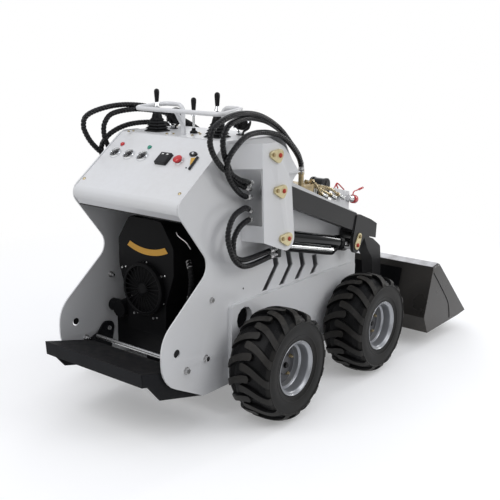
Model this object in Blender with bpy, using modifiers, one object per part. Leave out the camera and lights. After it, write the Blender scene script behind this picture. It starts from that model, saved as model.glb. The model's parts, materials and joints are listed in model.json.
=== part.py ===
"""Stand-on mini skid steer loader: chassis, four wheels, lift arms, bucket and folding platform.

Metres, +Z up, +X forward, +Y to the left. Everything is measured from the machine datum, a point
on the ground below the rear edge of the two towers, and the datum stands so that the machine's
middle is at the origin.
"""
import bpy
import bmesh
import numpy as np
from math import acos, cos, pi, radians, sin, tan
from mathutils import Matrix, Vector

for old in list(bpy.data.objects):
    bpy.data.objects.remove(old, do_unlink=True)

# Clearances
GAP = 0.0003
WELD = 0.000002
RUN = 0.0002
OVERRUN = 0.004

# Overall sizes
BODY_REAR = -0.463
BODY_FRONT = 0.880
BODY_LENGTH = BODY_FRONT - BODY_REAR
BODY_BOTTOM = 0.134
BODY_TOP = 1.120
BODY_HEIGHT = BODY_TOP - BODY_BOTTOM
BODY_HALF_WIDTH = 0.290
SIDE_PLATE = 0.006
INNER_HALF = BODY_HALF_WIDTH - SIDE_PLATE
WHEEL_RADIUS = 0.2285
REAR_AXLE = 0.0465
WHEELBASE = 0.678
TRACK_REACH = 0.159
TRACK_HALF = BODY_HALF_WIDTH + TRACK_REACH
PLATFORM_PIVOT_X = -0.212
PLATFORM_PIVOT_Z = 0.286
PLATFORM_TILT = radians(14)
TREAD_LENGTH = 0.336
TREAD_DROP = 0.050
LIP_X = 1.610
PLATFORM_REAR = PLATFORM_PIVOT_X - TREAD_LENGTH * cos(PLATFORM_TILT) - TREAD_DROP * sin(PLATFORM_TILT)
DATUM_X = -(PLATFORM_REAR + LIP_X) / 2

SIDES = (("right", -1), ("left", 1))
ROUND = 12
FINE = 24
CORNER_STEP = radians(30)
CORNER_SAGITTA = 0.0007
EDGE_ANGLE = radians(35)

parts = bpy.data.collections.new("mini_skid_steer_loader")
cutters = bpy.data.collections.new("cutters")
bpy.context.scene.collection.children.link(parts)
bpy.context.scene.collection.children.link(cutters)
datum = bpy.data.objects.new("machine_datum", None)
datum.location = (DATUM_X, 0, 0)
datum.hide_render = True
datum.empty_display_size = WHEEL_RADIUS
parts.objects.link(datum)


def material(name, colour, roughness, metallic=0.0):
    mat = bpy.data.materials.new(name)
    mat.use_nodes = True
    shader = mat.node_tree.nodes["Principled BSDF"]
    shader.inputs["Base Color"].default_value = (*colour, 1)
    shader.inputs["Roughness"].default_value = roughness
    shader.inputs["Metallic"].default_value = metallic
    return mat


WHITE = material("white_paint", (0.78, 0.78, 0.77), 0.35)
GREY = material("dark_grey_paint", (0.045, 0.045, 0.047), 0.45)
BLACK = material("black_paint", (0.012, 0.012, 0.013), 0.5)
BUCKET_PAINT = material("bucket_paint", (0.06, 0.055, 0.052), 0.5)
RUBBER = material("tyre_rubber", (0.02, 0.019, 0.018), 0.85)
RIM_PAINT = material("silver_rim_paint", (0.45, 0.46, 0.48), 0.35, 0.6)
STEEL = material("bright_steel", (0.6, 0.6, 0.6), 0.3, 1.0)
BRASS = material("yellow_zinc", (0.6, 0.47, 0.2), 0.4, 0.8)
PLASTIC = material("black_plastic", (0.015, 0.015, 0.016), 0.5)
HOSE_RUBBER = material("hose_rubber", (0.014, 0.014, 0.014), 0.6)


def finish(obj, mat):
    """Give an object its material, and smooth its round faces."""
    mesh = obj.data
    mesh.materials.clear()
    mesh.materials.append(mat)
    mesh.shade_smooth()
    mesh.set_sharp_from_angle(angle=EDGE_ANGLE)
    return obj


def mesh_object(name, bm):
    bmesh.ops.recalc_face_normals(bm, faces=bm.faces)
    mesh = bpy.data.meshes.new(name)
    bm.to_mesh(mesh)
    bm.free()
    obj = bpy.data.objects.new(name, mesh)
    parts.objects.link(obj)
    obj.parent = datum
    return obj


def corner_steps(turn, radius):
    """Steps round a corner, so that its facets stay close to the true arc."""
    step = min(CORNER_STEP, 2 * acos(1 - min(CORNER_SAGITTA / radius, 0.1)))
    return max(2, int(np.ceil(abs(turn) / step)))


def arc_corner(before, corner, after, radius):
    """Points of a round corner between two straight edges."""
    a = Vector(before) - Vector(corner)
    b = Vector(after) - Vector(corner)
    la = a.length
    lb = b.length
    a.normalize()
    b.normalize()
    opening = a.angle(b)
    reach = min(radius / tan(opening / 2), la / 2, lb / 2)
    radius = reach * tan(opening / 2)
    middle = Vector(corner) + (a + b).normalized() * (radius / sin(opening / 2))
    start = Vector(corner) + a * reach - middle
    turn = start.angle_signed(Vector(corner) + b * reach - middle, 0)
    steps = corner_steps(turn, radius)
    points = []
    for i in range(steps + 1):
        angle = -turn * i / steps
        x = start.x * cos(angle) - start.y * sin(angle)
        y = start.x * sin(angle) + start.y * cos(angle)
        points.append((middle.x + x, middle.y + y))
    return points


def outline(rows):
    """Outline from rows of (along, up, corner radius)."""
    points = []
    count = len(rows)
    for i, (along, up, radius) in enumerate(rows):
        if radius > 0:
            before = rows[i - 1][:2]
            after = rows[(i + 1) % count][:2]
            points += arc_corner(before, (along, up), after, radius)
        else:
            points.append((along, up))
    return points


def placed(shares, start, size, corner_size):
    """Outline rows from shares of a size, measured from its start corner."""
    rows = [(start[0] + x * size[0], start[1] + z * size[1], r * corner_size) for x, z, r in shares]
    return outline(rows)


def circle(x, z, radius, steps=ROUND):
    return [(x + radius * cos(2 * pi * i / steps), z + radius * sin(2 * pi * i / steps)) for i in range(steps)]


def slab(name, loops, low, high, normal="Y"):
    """Flat plate with holes: the first loop is its outline, low and high its two faces."""
    curve = bpy.data.curves.new(name, "CURVE")
    curve.dimensions = "2D"
    curve.fill_mode = "BOTH"
    curve.extrude = (high - low) / 2
    for loop in loops:
        spline = curve.splines.new("POLY")
        spline.points.add(len(loop) - 1)
        for point, (x, z) in zip(spline.points, loop):
            point.co = (x, z, 0, 1)
        spline.use_cyclic_u = True
    flat = bpy.data.objects.new(name + "_outline", curve)
    cutters.objects.link(flat)
    middle = (high + low) / 2
    if normal == "Y":
        flat.matrix_world = Matrix.Translation((0, middle, 0)) @ Matrix.Rotation(pi / 2, 4, "X")
    elif normal == "X":
        turn = Matrix(((0, 0, 1, middle), (1, 0, 0, 0), (0, 1, 0, 0), (0, 0, 0, 1)))
        flat.matrix_world = turn
    else:
        flat.matrix_world = Matrix.Translation((0, 0, middle))
    bpy.context.view_layer.update()
    graph = bpy.context.evaluated_depsgraph_get()
    mesh = bpy.data.meshes.new_from_object(flat.evaluated_get(graph))
    mesh.transform(flat.matrix_world)
    bpy.data.objects.remove(flat, do_unlink=True)
    bm = bmesh.new()
    bm.from_mesh(mesh)
    bpy.data.meshes.remove(mesh)
    bmesh.ops.remove_doubles(bm, verts=bm.verts, dist=GAP / 10)
    if len(loops) == 1:
        bmesh.ops.dissolve_limit(bm, angle_limit=EDGE_ANGLE / 1000, verts=bm.verts, edges=bm.edges)
    return mesh_object(name, bm)


def box(name, low, high):
    bm = bmesh.new()
    size = Vector(high) - Vector(low)
    place = Matrix.Translation((Vector(high) + Vector(low)) / 2)
    bmesh.ops.create_cube(bm, size=1, matrix=place @ Matrix.Diagonal((*size, 1)))
    return mesh_object(name, bm)


def rod(name, start, end, radius, steps=ROUND, end_radius=None):
    """Round bar, or cone, between two points."""
    start = Vector(start)
    end = Vector(end)
    axis = end - start
    turn = axis.to_track_quat("Z", "Y").to_matrix().to_4x4()
    bm = bmesh.new()
    top = radius if end_radius is None else end_radius
    bmesh.ops.create_cone(bm, cap_ends=True, segments=steps, radius1=radius, radius2=top,
                          depth=axis.length, matrix=Matrix.Translation((start + end) / 2) @ turn)
    return mesh_object(name, bm)


def bore_radius(pin_radius, steps=ROUND):
    """Radius of a faceted bore whose flats clear a pin that turns in it."""
    return (pin_radius + RUN) / cos(pi / steps)


def across(name, x, z, y0, y1, radius, steps=ROUND):
    """Round bar along Y."""
    return rod(name, (x, y0, z), (x, y1, z), radius, steps)


def turned(name, profile, place, steps=FINE):
    """Solid of revolution. The profile's points are (radius, height), the outer side top to bottom."""
    mesh = bpy.data.meshes.new(name + "_profile")
    count = len(profile)
    ring = profile[0][0] > 0
    edges = [(i, i + 1) for i in range(count - 1)]
    if ring:
        edges.append((count - 1, 0))
    mesh.from_pydata([(r, 0, h) for r, h in profile], edges, [])
    obj = bpy.data.objects.new(name, mesh)
    parts.objects.link(obj)
    screw = obj.modifiers.new("turn", "SCREW")
    screw.axis = "Z"
    screw.angle = 2 * pi
    screw.steps = steps
    screw.render_steps = steps
    screw.use_merge_vertices = True
    screw.merge_threshold = GAP / 10
    bpy.context.view_layer.update()
    graph = bpy.context.evaluated_depsgraph_get()
    solid = bpy.data.meshes.new_from_object(obj.evaluated_get(graph))
    bpy.data.objects.remove(obj, do_unlink=True)
    solid.transform(place)
    bm = bmesh.new()
    bm.from_mesh(solid)
    bpy.data.meshes.remove(solid)
    bmesh.ops.remove_doubles(bm, verts=bm.verts, dist=GAP / 10)
    return mesh_object(name, bm)


def smooth_route(points, spacing):
    """Even points along a smooth curve through a route's own points."""
    p = [Vector(v) for v in points]
    p = [2 * p[0] - p[1]] + p + [2 * p[-1] - p[-2]]
    dense = []
    for i in range(1, len(p) - 2):
        a, b, c, d = p[i - 1:i + 3]
        for k in range(24):
            t = k / 24
            dense.append(0.5 * (2 * b + (c - a) * t + (2 * a - 5 * b + 4 * c - d) * t * t
                                + (3 * b - a - 3 * c + d) * t ** 3))
    dense.append(p[-2])
    lengths = [0.0]
    for a, b in zip(dense, dense[1:]):
        lengths.append(lengths[-1] + (b - a).length)
    count = max(2, int(round(lengths[-1] / spacing)))
    even = []
    j = 0
    for i in range(count + 1):
        goal = lengths[-1] * i / count
        while j < len(lengths) - 2 and lengths[j + 1] < goal:
            j += 1
        span = lengths[j + 1] - lengths[j]
        even.append(dense[j].lerp(dense[j + 1], (goal - lengths[j]) / span))
    return even


def tube(name, points, radius, resolution=2):
    """Round tube along a chain of points, as a closed mesh."""
    curve = bpy.data.curves.new(name, "CURVE")
    curve.dimensions = "3D"
    curve.bevel_depth = radius
    curve.bevel_resolution = resolution
    curve.use_fill_caps = True
    spline = curve.splines.new("POLY")
    spline.points.add(len(points) - 1)
    for point, co in zip(spline.points, points):
        point.co = (*co, 1)
    wire = bpy.data.objects.new(name + "_path", curve)
    cutters.objects.link(wire)
    bpy.context.view_layer.update()
    graph = bpy.context.evaluated_depsgraph_get()
    mesh = bpy.data.meshes.new_from_object(wire.evaluated_get(graph))
    bpy.data.objects.remove(wire, do_unlink=True)
    bm = bmesh.new()
    bm.from_mesh(mesh)
    bpy.data.meshes.remove(mesh)
    bmesh.ops.remove_doubles(bm, verts=bm.verts, dist=GAP / 10)
    return mesh_object(name, bm)


def combine(base, tools, operation):
    """Boolean of a base with a list of tools, applied to the base's mesh."""
    for tool in tools:
        change = base.modifiers.new(operation.lower(), "BOOLEAN")
        change.operation = operation
        change.solver = "EXACT"
        change.object = tool
        bpy.context.view_layer.update()
        graph = bpy.context.evaluated_depsgraph_get()
        result = bpy.data.meshes.new_from_object(base.evaluated_get(graph))
        base.modifiers.clear()
        old = base.data
        base.data = result
        bpy.data.meshes.remove(old)
        bpy.data.objects.remove(tool, do_unlink=True)
    bm = bmesh.new()
    bm.from_mesh(base.data)
    bmesh.ops.remove_doubles(bm, verts=bm.verts, dist=WELD)
    bmesh.ops.dissolve_degenerate(bm, edges=bm.edges, dist=WELD)
    bm.to_mesh(base.data)
    bm.free()
    return base


def fuse(base, *tools):
    return combine(base, tools, "UNION")


def cut(base, *tools):
    return combine(base, tools, "DIFFERENCE")


def sheet(points, thickness):
    """Closed outline of a bent sheet: its outer line, then the same line one thickness to its right."""
    line = [Vector(p) for p in points]
    inner = []
    for i, p in enumerate(line):
        ahead = (line[i + 1] - p).normalized() if i < len(line) - 1 else None
        behind = (p - line[i - 1]).normalized() if i > 0 else None
        if ahead is None:
            ahead = behind
        if behind is None:
            behind = ahead
        way = (ahead + behind).normalized()
        right = Vector((way.y, -way.x))
        inner.append(p + right * (thickness / max(cos(ahead.angle(behind) / 2), 0.3)))
    return [tuple(p) for p in line] + [tuple(p) for p in reversed(inner)]


def bend(corners, radius):
    """Open line with its inner corners rounded."""
    points = [corners[0]]
    for before, corner, after in zip(corners, corners[1:], corners[2:]):
        points += arc_corner(before, corner, after, radius)
    points.append(corners[-1])
    return points


# Side plates: 6 mm sheet, waisted behind the engine bay, with four chevron vents each side.
# Columns: share of the body's length, share of its height, corner radius as a share of the height.
SIDE_SHARES = (
    (0.2703, 1.0000, 0.004),
    (0.4713, 1.0000, 0.060),
    (0.5547, 0.9513, 0.120),
    (0.6351, 0.8327, 0.012),
    (0.5875, 0.7982, 0.012),
    (1.0000, 0.5766, 0.012),
    (1.0000, 0.0000, 0.006),
    (0.1735, 0.0000, 0.010),
    (0.0000, 0.1176, 0.132),
    (0.0000, 0.2946, 0.132),
    (0.2082, 0.5256, 0.066),
    (0.0570, 0.7809, 0.051),
)
# Columns: inner kink along the body and up it, drop of the lower leg, rise of the upper leg.
VENT_SHARES = (
    (0.5079, 0.4462, 0.0974, 0.0750),
    (0.5838, 0.4249, 0.0761, 0.0750),
    (0.6560, 0.4047, 0.0558, 0.0750),
    (0.7319, 0.3834, 0.0345, 0.0520),
)
VENT_WIDTH = 0.036
VENT_LOWER_SLOPE = radians(50)
VENT_UPPER_SLOPE = radians(74)
SIGHT_HOLE_X = -0.380
SIGHT_HOLE_Z = 0.353
SIGHT_HOLE_RADIUS = 0.017
MOTOR_HOLE_X = 0.0
MOTOR_HOLE_Z = 0.400
MOTOR_HOLE_RADIUS = 0.050
SHELF_Z = 0.955
SHELF_REACH = 0.008
SHELF_REAR = 0.235
SHELF_FRONT = 0.385


def vent(row):
    x = BODY_REAR + row[0] * BODY_LENGTH
    z = BODY_BOTTOM + row[1] * BODY_HEIGHT
    drop = row[2] * BODY_HEIGHT
    rise = row[3] * BODY_HEIGHT
    low = x - drop / tan(VENT_LOWER_SLOPE)
    high = x - rise / tan(VENT_UPPER_SLOPE)
    return [(low, z - drop), (low + VENT_WIDTH, z - drop), (x + VENT_WIDTH, z), (high + VENT_WIDTH, z + rise),
            (high, z + rise), (x, z)]


body_outline = placed(SIDE_SHARES, (BODY_REAR, BODY_BOTTOM), (BODY_LENGTH, BODY_HEIGHT), BODY_HEIGHT)
for side, sign in SIDES:
    faces = sorted((sign * BODY_HALF_WIDTH, sign * INNER_HALF))
    holes = [vent(row) for row in VENT_SHARES]
    holes.append(circle(SIGHT_HOLE_X, SIGHT_HOLE_Z, SIGHT_HOLE_RADIUS))
    holes.append(circle(MOTOR_HOLE_X, MOTOR_HOLE_Z, MOTOR_HOLE_RADIUS))
    plate = slab("side_plate_" + side, [body_outline] + holes, *faces)
    reach = sorted((sign * (BODY_HALF_WIDTH + SHELF_REACH), sign * INNER_HALF))
    shelf = box("shelf", (SHELF_REAR, reach[0], SHELF_Z), (SHELF_FRONT, reach[1], SHELF_Z + SIDE_PLATE))
    finish(fuse(plate, shelf), WHITE)

# Floor and front: one sheet bent up at the front, closing the body between the side plates.
FLOOR_REAR = -0.170
FLOOR_SHEET = 0.008
FRONT_TOP = 0.690
FLOOR_BEND = 0.020
FRAME_INSET = INNER_HALF - GAP
floor_line = bend([(FLOOR_REAR, BODY_BOTTOM), (BODY_FRONT, BODY_BOTTOM), (BODY_FRONT, FRONT_TOP)], FLOOR_BEND)
floor_outline = sheet(list(reversed(floor_line)), FLOOR_SHEET)
pan = slab("belly_pan", [floor_outline], -FRAME_INSET, FRAME_INSET)
finish(pan, WHITE)

# Hood: sheet that slopes to the front between the side plates.
HOOD_SHEET = 0.003
HOOD_REAR_X = 0.345
HOOD_REAR_Z = 0.900
HOOD_FRONT_X = 0.868
HOOD_FRONT_Z = 0.701
hood_outline = sheet([(HOOD_REAR_X, HOOD_REAR_Z), (HOOD_FRONT_X, HOOD_FRONT_Z)], HOOD_SHEET)
finish(slab("hood", [hood_outline], -FRAME_INSET, FRAME_INSET), WHITE)

# Deck: flat top with its front bent down behind the valve bank.
DECK_SHEET = 0.004
DECK_REAR = -0.088
DECK_TOP = BODY_TOP + DECK_SHEET
DECK_FRONT = 0.330
DECK_FOOT_X = 0.385
DECK_DROP = 0.174
DECK_FOOT_Z = DECK_TOP - DECK_DROP
DECK_LIP_X = 0.335
DECK_LIP_DROP = 0.0455
DECK_LIP_Z = DECK_FOOT_Z - DECK_LIP_DROP
DECK_BEND = 0.060
deck_line = bend([(DECK_REAR, DECK_TOP), (DECK_FRONT - DECK_BEND, DECK_TOP), (DECK_FOOT_X, DECK_FOOT_Z)], DECK_BEND)
deck_line.append((DECK_LIP_X, DECK_LIP_Z))
deck = slab("deck", [sheet(deck_line, DECK_SHEET)], -FRAME_INSET, FRAME_INSET)
finish(deck, WHITE)

# Console: sloped panel rolled under at its lower edge.
CONSOLE_SHEET = 0.003
PANEL_TOP_X = -0.0915
PANEL_STEP = 0.002
PANEL_DROP = 0.218
PANEL_TUCK = 0.056
PANEL_TOP_Z = DECK_TOP - PANEL_STEP
PANEL_NOSE_X = -0.3815
PANEL_NOSE_Z = PANEL_TOP_Z - PANEL_DROP
PANEL_FOOT_X = -0.337
PANEL_FOOT_Z = PANEL_NOSE_Z - PANEL_TUCK
PANEL_ROLL = 0.047
panel_line = bend([(PANEL_FOOT_X, PANEL_FOOT_Z), (PANEL_NOSE_X, PANEL_NOSE_Z), (PANEL_TOP_X, PANEL_TOP_Z)], PANEL_ROLL)
finish(slab("console", [sheet(panel_line, CONSOLE_SHEET)], -FRAME_INSET, FRAME_INSET), WHITE)

# Chain cases: pans on the side plates that cover the drive chains and carry the axles.
CASE_DEPTH = 0.020
CASE_SHEET = 0.004
CASE_REAR = -0.081
CASE_FRONT = 0.850
CASE_TOP = 0.471
CASE_BOTTOM = BODY_BOTTOM
CASE_CORNER = 0.015
HOUSING_HALF_LENGTH = 0.085
HOUSING_HALF_HEIGHT = 0.062
HOUSING_CORNER = 0.012
BEARING_RADIUS = 0.048
BEARING_REACH = 0.020
SHAFT_RADIUS = 0.0245
CASE_FACE = BODY_HALF_WIDTH + GAP + CASE_DEPTH
AXLES = (("rear", REAR_AXLE), ("front", REAR_AXLE + WHEELBASE))


def rectangle(x0, x1, z0, z1, corner):
    return outline([(x0, z0, corner), (x1, z0, corner), (x1, z1, corner), (x0, z1, corner)])


for side, sign in SIDES:
    case_outline = rectangle(CASE_REAR, CASE_FRONT, CASE_BOTTOM, CASE_TOP, CASE_CORNER)
    windows = [circle(MOTOR_HOLE_X, MOTOR_HOLE_Z, MOTOR_HOLE_RADIUS)]
    for end, axle in AXLES:
        windows.append(rectangle(axle - HOUSING_HALF_LENGTH - GAP, axle + HOUSING_HALF_LENGTH + GAP,
                                 WHEEL_RADIUS - HOUSING_HALF_HEIGHT - GAP,
                                 WHEEL_RADIUS + HOUSING_HALF_HEIGHT + GAP, HOUSING_CORNER))
    inner = BODY_HALF_WIDTH + GAP
    case = slab("chain_case_" + side, [case_outline], *sorted((sign * inner, sign * CASE_FACE)))
    through = sorted((sign * (inner - OVERRUN), sign * (CASE_FACE + OVERRUN)))
    hollow = [slab("window", [window], *through) for window in windows]
    hollow_face = sorted((sign * (inner - OVERRUN), sign * (CASE_FACE - CASE_SHEET)))
    middle = REAR_AXLE + WHEELBASE / 2
    inset = HOUSING_HALF_LENGTH + CASE_SHEET * 2
    hollow.append(slab("pocket", [rectangle(REAR_AXLE + inset, REAR_AXLE + WHEELBASE - inset,
                                            CASE_BOTTOM + CASE_SHEET, CASE_TOP - CASE_SHEET, CASE_SHEET)],
                       *hollow_face))
    finish(cut(case, *hollow), WHITE)
    for end, axle in AXLES:
        housing_outline = rectangle(axle - HOUSING_HALF_LENGTH, axle + HOUSING_HALF_LENGTH,
                                    WHEEL_RADIUS - HOUSING_HALF_HEIGHT, WHEEL_RADIUS + HOUSING_HALF_HEIGHT,
                                    HOUSING_CORNER)
        name = "axle_housing_%s_%s" % (end, side)
        flange = slab(name, [housing_outline], *sorted((sign * inner, sign * (CASE_FACE - CASE_SHEET))))
        bearing = across("bearing", axle, WHEEL_RADIUS, sign * (inner + CASE_SHEET),
                         sign * (CASE_FACE + BEARING_REACH), BEARING_RADIUS)
        bore = across("bore", axle, WHEEL_RADIUS, sign * (inner + CASE_SHEET),
                      sign * (CASE_FACE + BEARING_REACH + OVERRUN), bore_radius(SHAFT_RADIUS))
        finish(cut(fuse(flange, bearing), bore), BLACK)

# Wheels: deep dished rim with hub and axle shaft, and a tyre with chevron lugs in two rows.
WHEEL_STEPS = 16
FLANGE_RADIUS = 0.1130
FLANGE_SHEET = 0.004
RIM_HALF_WIDTH = 0.0925
BEAD_RADIUS = 0.1015
BEAD_SEAT = 0.084
WELL_RADIUS = 0.0900
WELL_EDGE = 0.040
RIM_SHEET = 0.0045
DISC_PLACE = 0.018
DISC_SHEET = 0.010
HUB_RADIUS = 0.046
HUB_REACH = 0.018
SHAFT_INNER = BODY_HALF_WIDTH + CASE_SHEET + GAP + GAP
TYRE_HALF_WIDTH = 0.1000
CROWN_RADIUS = 0.2090
SHOULDER_RADIUS = 0.1990
SHOULDER_WIDTH = 0.0900
SIDEWALL_RADIUS = 0.1600
LUG_COUNT = 16
LUG_WIDTH = 0.031
LUG_SLANT = 0.052
LUG_INNER = 0.002
LUG_SHOULDER_DROP = 0.006
LUG_ROOT = 0.186
LUG_OUTER = 0.0995


def rim_profile():
    """Radius and height, from the outer face of the hub round the rim and back along the shaft."""
    shaft_end = -(TRACK_HALF - SHAFT_INNER)
    inner_lip = FLANGE_RADIUS - FLANGE_SHEET
    return [
        (0, DISC_PLACE + HUB_REACH), (HUB_RADIUS * 0.8, DISC_PLACE + HUB_REACH),
        (HUB_RADIUS, DISC_PLACE), (WELL_RADIUS - RIM_SHEET, DISC_PLACE),
        (WELL_RADIUS - RIM_SHEET, WELL_EDGE), (BEAD_RADIUS - RIM_SHEET, WELL_EDGE + RIM_SHEET),
        (BEAD_RADIUS - RIM_SHEET, BEAD_SEAT), (inner_lip, RIM_HALF_WIDTH - FLANGE_SHEET),
        (inner_lip, RIM_HALF_WIDTH), (FLANGE_RADIUS, RIM_HALF_WIDTH),
        (FLANGE_RADIUS, RIM_HALF_WIDTH - FLANGE_SHEET), (BEAD_RADIUS, BEAD_SEAT),
        (BEAD_RADIUS, -BEAD_SEAT),
        (FLANGE_RADIUS, -RIM_HALF_WIDTH), (inner_lip, -RIM_HALF_WIDTH),
        (WELL_RADIUS - RIM_SHEET, -WELL_EDGE),
        (WELL_RADIUS - RIM_SHEET, DISC_PLACE - DISC_SHEET), (HUB_RADIUS, DISC_PLACE - DISC_SHEET),
        (HUB_RADIUS, -HUB_REACH), (SHAFT_RADIUS, -HUB_REACH), (SHAFT_RADIUS, shaft_end), (0, shaft_end)]


def carcass_profile():
    seat = BEAD_RADIUS + GAP
    edge = BEAD_SEAT - FLANGE_SHEET * 3
    side_low = FLANGE_RADIUS + FLANGE_SHEET
    half = [(CROWN_RADIUS, 0), (SHOULDER_RADIUS, -SHOULDER_WIDTH), (SIDEWALL_RADIUS, -TYRE_HALF_WIDTH),
            (side_low, -RIM_HALF_WIDTH), (seat, -edge)]
    other = [(r, -h) for r, h in reversed(half[1:])]
    return other + half


def lug(name, index, row):
    """One lug: a slanted bar across half of the tread and over its shoulder."""
    tip = WHEEL_RADIUS / cos((LUG_WIDTH / 2 - LUG_SLANT * LUG_INNER / LUG_OUTER) / WHEEL_RADIUS)
    section = [(LUG_INNER, CROWN_RADIUS - LUG_SHOULDER_DROP), (LUG_INNER, tip),
               (SHOULDER_WIDTH * 0.75, WHEEL_RADIUS - LUG_SHOULDER_DROP / 3),
               (LUG_OUTER, WHEEL_RADIUS - LUG_SHOULDER_DROP * 2.5), (LUG_OUTER, LUG_ROOT),
               (SHOULDER_WIDTH * 0.8, LUG_ROOT)]
    bm = bmesh.new()
    rows = []
    for flank in (-1, 1):
        ring = []
        for across_tread, radius in section:
            angle = (LUG_SLANT * across_tread / LUG_OUTER + flank * LUG_WIDTH / 2) / WHEEL_RADIUS
            angle = angle + 2 * pi * (index + (0.5 if row > 0 else 0)) / LUG_COUNT
            ring.append(bm.verts.new((radius * cos(angle), radius * sin(angle), across_tread * row)))
        rows.append(ring)
    count = len(section)
    bm.faces.new(rows[0])
    bm.faces.new(list(reversed(rows[1])))
    for i in range(count):
        j = (i + 1) % count
        bm.faces.new((rows[0][i], rows[1][i], rows[1][j], rows[0][j]))
    return mesh_object(name, bm)


def wheel_place(axle, sign):
    turn = Matrix.Rotation(-sign * pi / 2, 4, "X")
    return Matrix.Translation((axle, sign * TRACK_HALF, WHEEL_RADIUS)) @ turn


tread = turned("tread", carcass_profile(), Matrix.Identity(4), WHEEL_STEPS)
lugs = [lug("lug", index, row) for row in (-1, 1) for index in range(LUG_COUNT)]
fuse(tread, *lugs)
tyre_mesh = tread.data.copy()
bpy.data.objects.remove(tread, do_unlink=True)
for end, axle in AXLES:
    for side, sign in SIDES:
        tag = "_%s_%s" % (end, side)
        finish(turned("rim" + tag, rim_profile(), wheel_place(axle, sign), WHEEL_STEPS), RIM_PAINT)
        bm = bmesh.new()
        bm.from_mesh(tyre_mesh)
        if sign > 0:
            bmesh.ops.scale(bm, vec=(1, -1, 1), verts=bm.verts)
        bmesh.ops.transform(bm, matrix=wheel_place(axle, sign), verts=bm.verts)
        finish(mesh_object("tyre" + tag, bm), RUBBER)

# Towers: folded plates outside the side plates, which carry the arm pivot and the lift cylinder's base.
ARM_GAP = 0.030
ARM_WIDTH = 0.050
ARM_INNER = BODY_HALF_WIDTH + ARM_GAP
ARM_OUTER = ARM_INNER + ARM_WIDTH
TOWER_GAP = 0.007
TOWER_SHEET = 0.008
TOWER_FACE = ARM_OUTER + TOWER_GAP + TOWER_SHEET
TOWER_TOP = 1.114
WING_DROP = 0.096
WING_TOP_LOW = TOWER_TOP - WING_DROP
WING_LOW_TOP = 0.787
WING_LOW_BOTTOM = 0.721
FOLD_TOP_X = 0.004
FOLD_LOW_X = 0.024
WING_TOP_REAR = -0.095
WING_LOW_REAR = -0.004
ARM_PIVOT_X = 0.136
ARM_PIVOT_Z = 0.917
LIFT_BASE_X = 0.179
LIFT_BASE_Z = 0.715
TIE_PIN_X = 0.106
TIE_PIN_DROP = 0.052
TIE_PIN_Z = TOWER_TOP - TIE_PIN_DROP
ARM_PIN_RADIUS = 0.022
CYLINDER_PIN_RADIUS = 0.015
PIN_HEAD = 0.010
TOWER_TAPER = 0.168
TOWER_ROWS = (
    (FOLD_TOP_X, TOWER_TOP, 0.008), (0.104, TOWER_TOP, 0.030), (0.201, TOWER_TOP - TOWER_TAPER, 0.030),
    (0.239, 0.636, 0.050), (FOLD_LOW_X, WING_LOW_BOTTOM, 0.004))


def wing(name, sign, fold, rear, low, high):
    """Wing bent back from the tower's outer plate to the side plate."""
    near = sign * (TOWER_FACE - GAP)
    far = sign * (BODY_HALF_WIDTH + GAP)
    corners = [(fold, near), (fold + TOWER_SHEET, near), (rear + TOWER_SHEET, far), (rear, far)]
    return slab(name, [corners], low, high, "Z")


for side, sign in SIDES:
    outer = sign * TOWER_FACE
    inner = sign * (TOWER_FACE - TOWER_SHEET)
    seat = sign * (BODY_HALF_WIDTH + GAP)
    tower = slab("tower_" + side, [outline(TOWER_ROWS)], *sorted((outer, inner)))
    additions = [wing("upper_wing", sign, FOLD_TOP_X, WING_TOP_REAR, WING_TOP_LOW, TOWER_TOP),
                 wing("lower_wing", sign, FOLD_LOW_X, WING_LOW_REAR, WING_LOW_BOTTOM, WING_LOW_TOP)]
    head = sign * (TOWER_FACE + PIN_HEAD)
    for x, z, radius in ((ARM_PIVOT_X, ARM_PIVOT_Z, ARM_PIN_RADIUS), (TIE_PIN_X, TIE_PIN_Z, CYLINDER_PIN_RADIUS),
                         (LIFT_BASE_X, LIFT_BASE_Z, CYLINDER_PIN_RADIUS)):
        additions.append(across("pin", x, z, head, seat, radius))
    finish(fuse(tower, *additions), WHITE)

# Lift arms: a box beam on each side from the tower down to the knee, and a leg from the knee inboard
# of the front tyre down to the bucket's pivot.
ARM_BOSS = 0.055
BEAM_SLOPE = radians(20.2)
BEAM_ABOVE = 0.036
BEAM_BELOW = 0.045
KNEE_GAP = 0.008
KNEE_PROUD = 0.004
KNEE_OUTER = ARM_OUTER + KNEE_PROUD
KNEE_INNER = BODY_HALF_WIDTH + KNEE_GAP
LEG_WIDTH = 0.060
LEG_STEP = 0.002
LEG_OUTER = ARM_INNER - LEG_STEP
LEG_INNER = LEG_OUTER - LEG_WIDTH
ELBOW_X = 0.752
ELBOW_Z = 0.579
BEAM_STOP = 0.0154
BEAM_LENGTH = (ELBOW_X - BEAM_STOP - ARM_PIVOT_X) / cos(BEAM_SLOPE)
LUG_NOSE = 0.036
CLEVIS_HALF = 0.0235
CLEVIS_REAR = 0.085
CLEVIS_SHIFT = 0.010
CYLINDER_LINE = (ARM_INNER + ARM_OUTER) / 2 - CLEVIS_SHIFT
CLEVIS_FRONT = 0.060
CLEVIS_TOP = 0.063
BUCKET_PIVOT_X = 1.058
BUCKET_PIVOT_Z = 0.170
FOOT_RADIUS = 0.036
# Columns: along and up from the elbow pin, corner radius.
KNEE_ROWS = (
    (-0.008, 0.143, 0), (0.020, 0.143, 0), (0.122, 0.104, 0), (0.178, 0.076, 0),
    (0.173, 0.006, 0), (0.105, 0.025, 0), (0.074, 0.030, 0), (0.038, 0.000, 0.010),
    (0.018, -0.036, 0.030), (-0.030, -0.036, 0.036), (-0.036, 0.030, 0))
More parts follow.
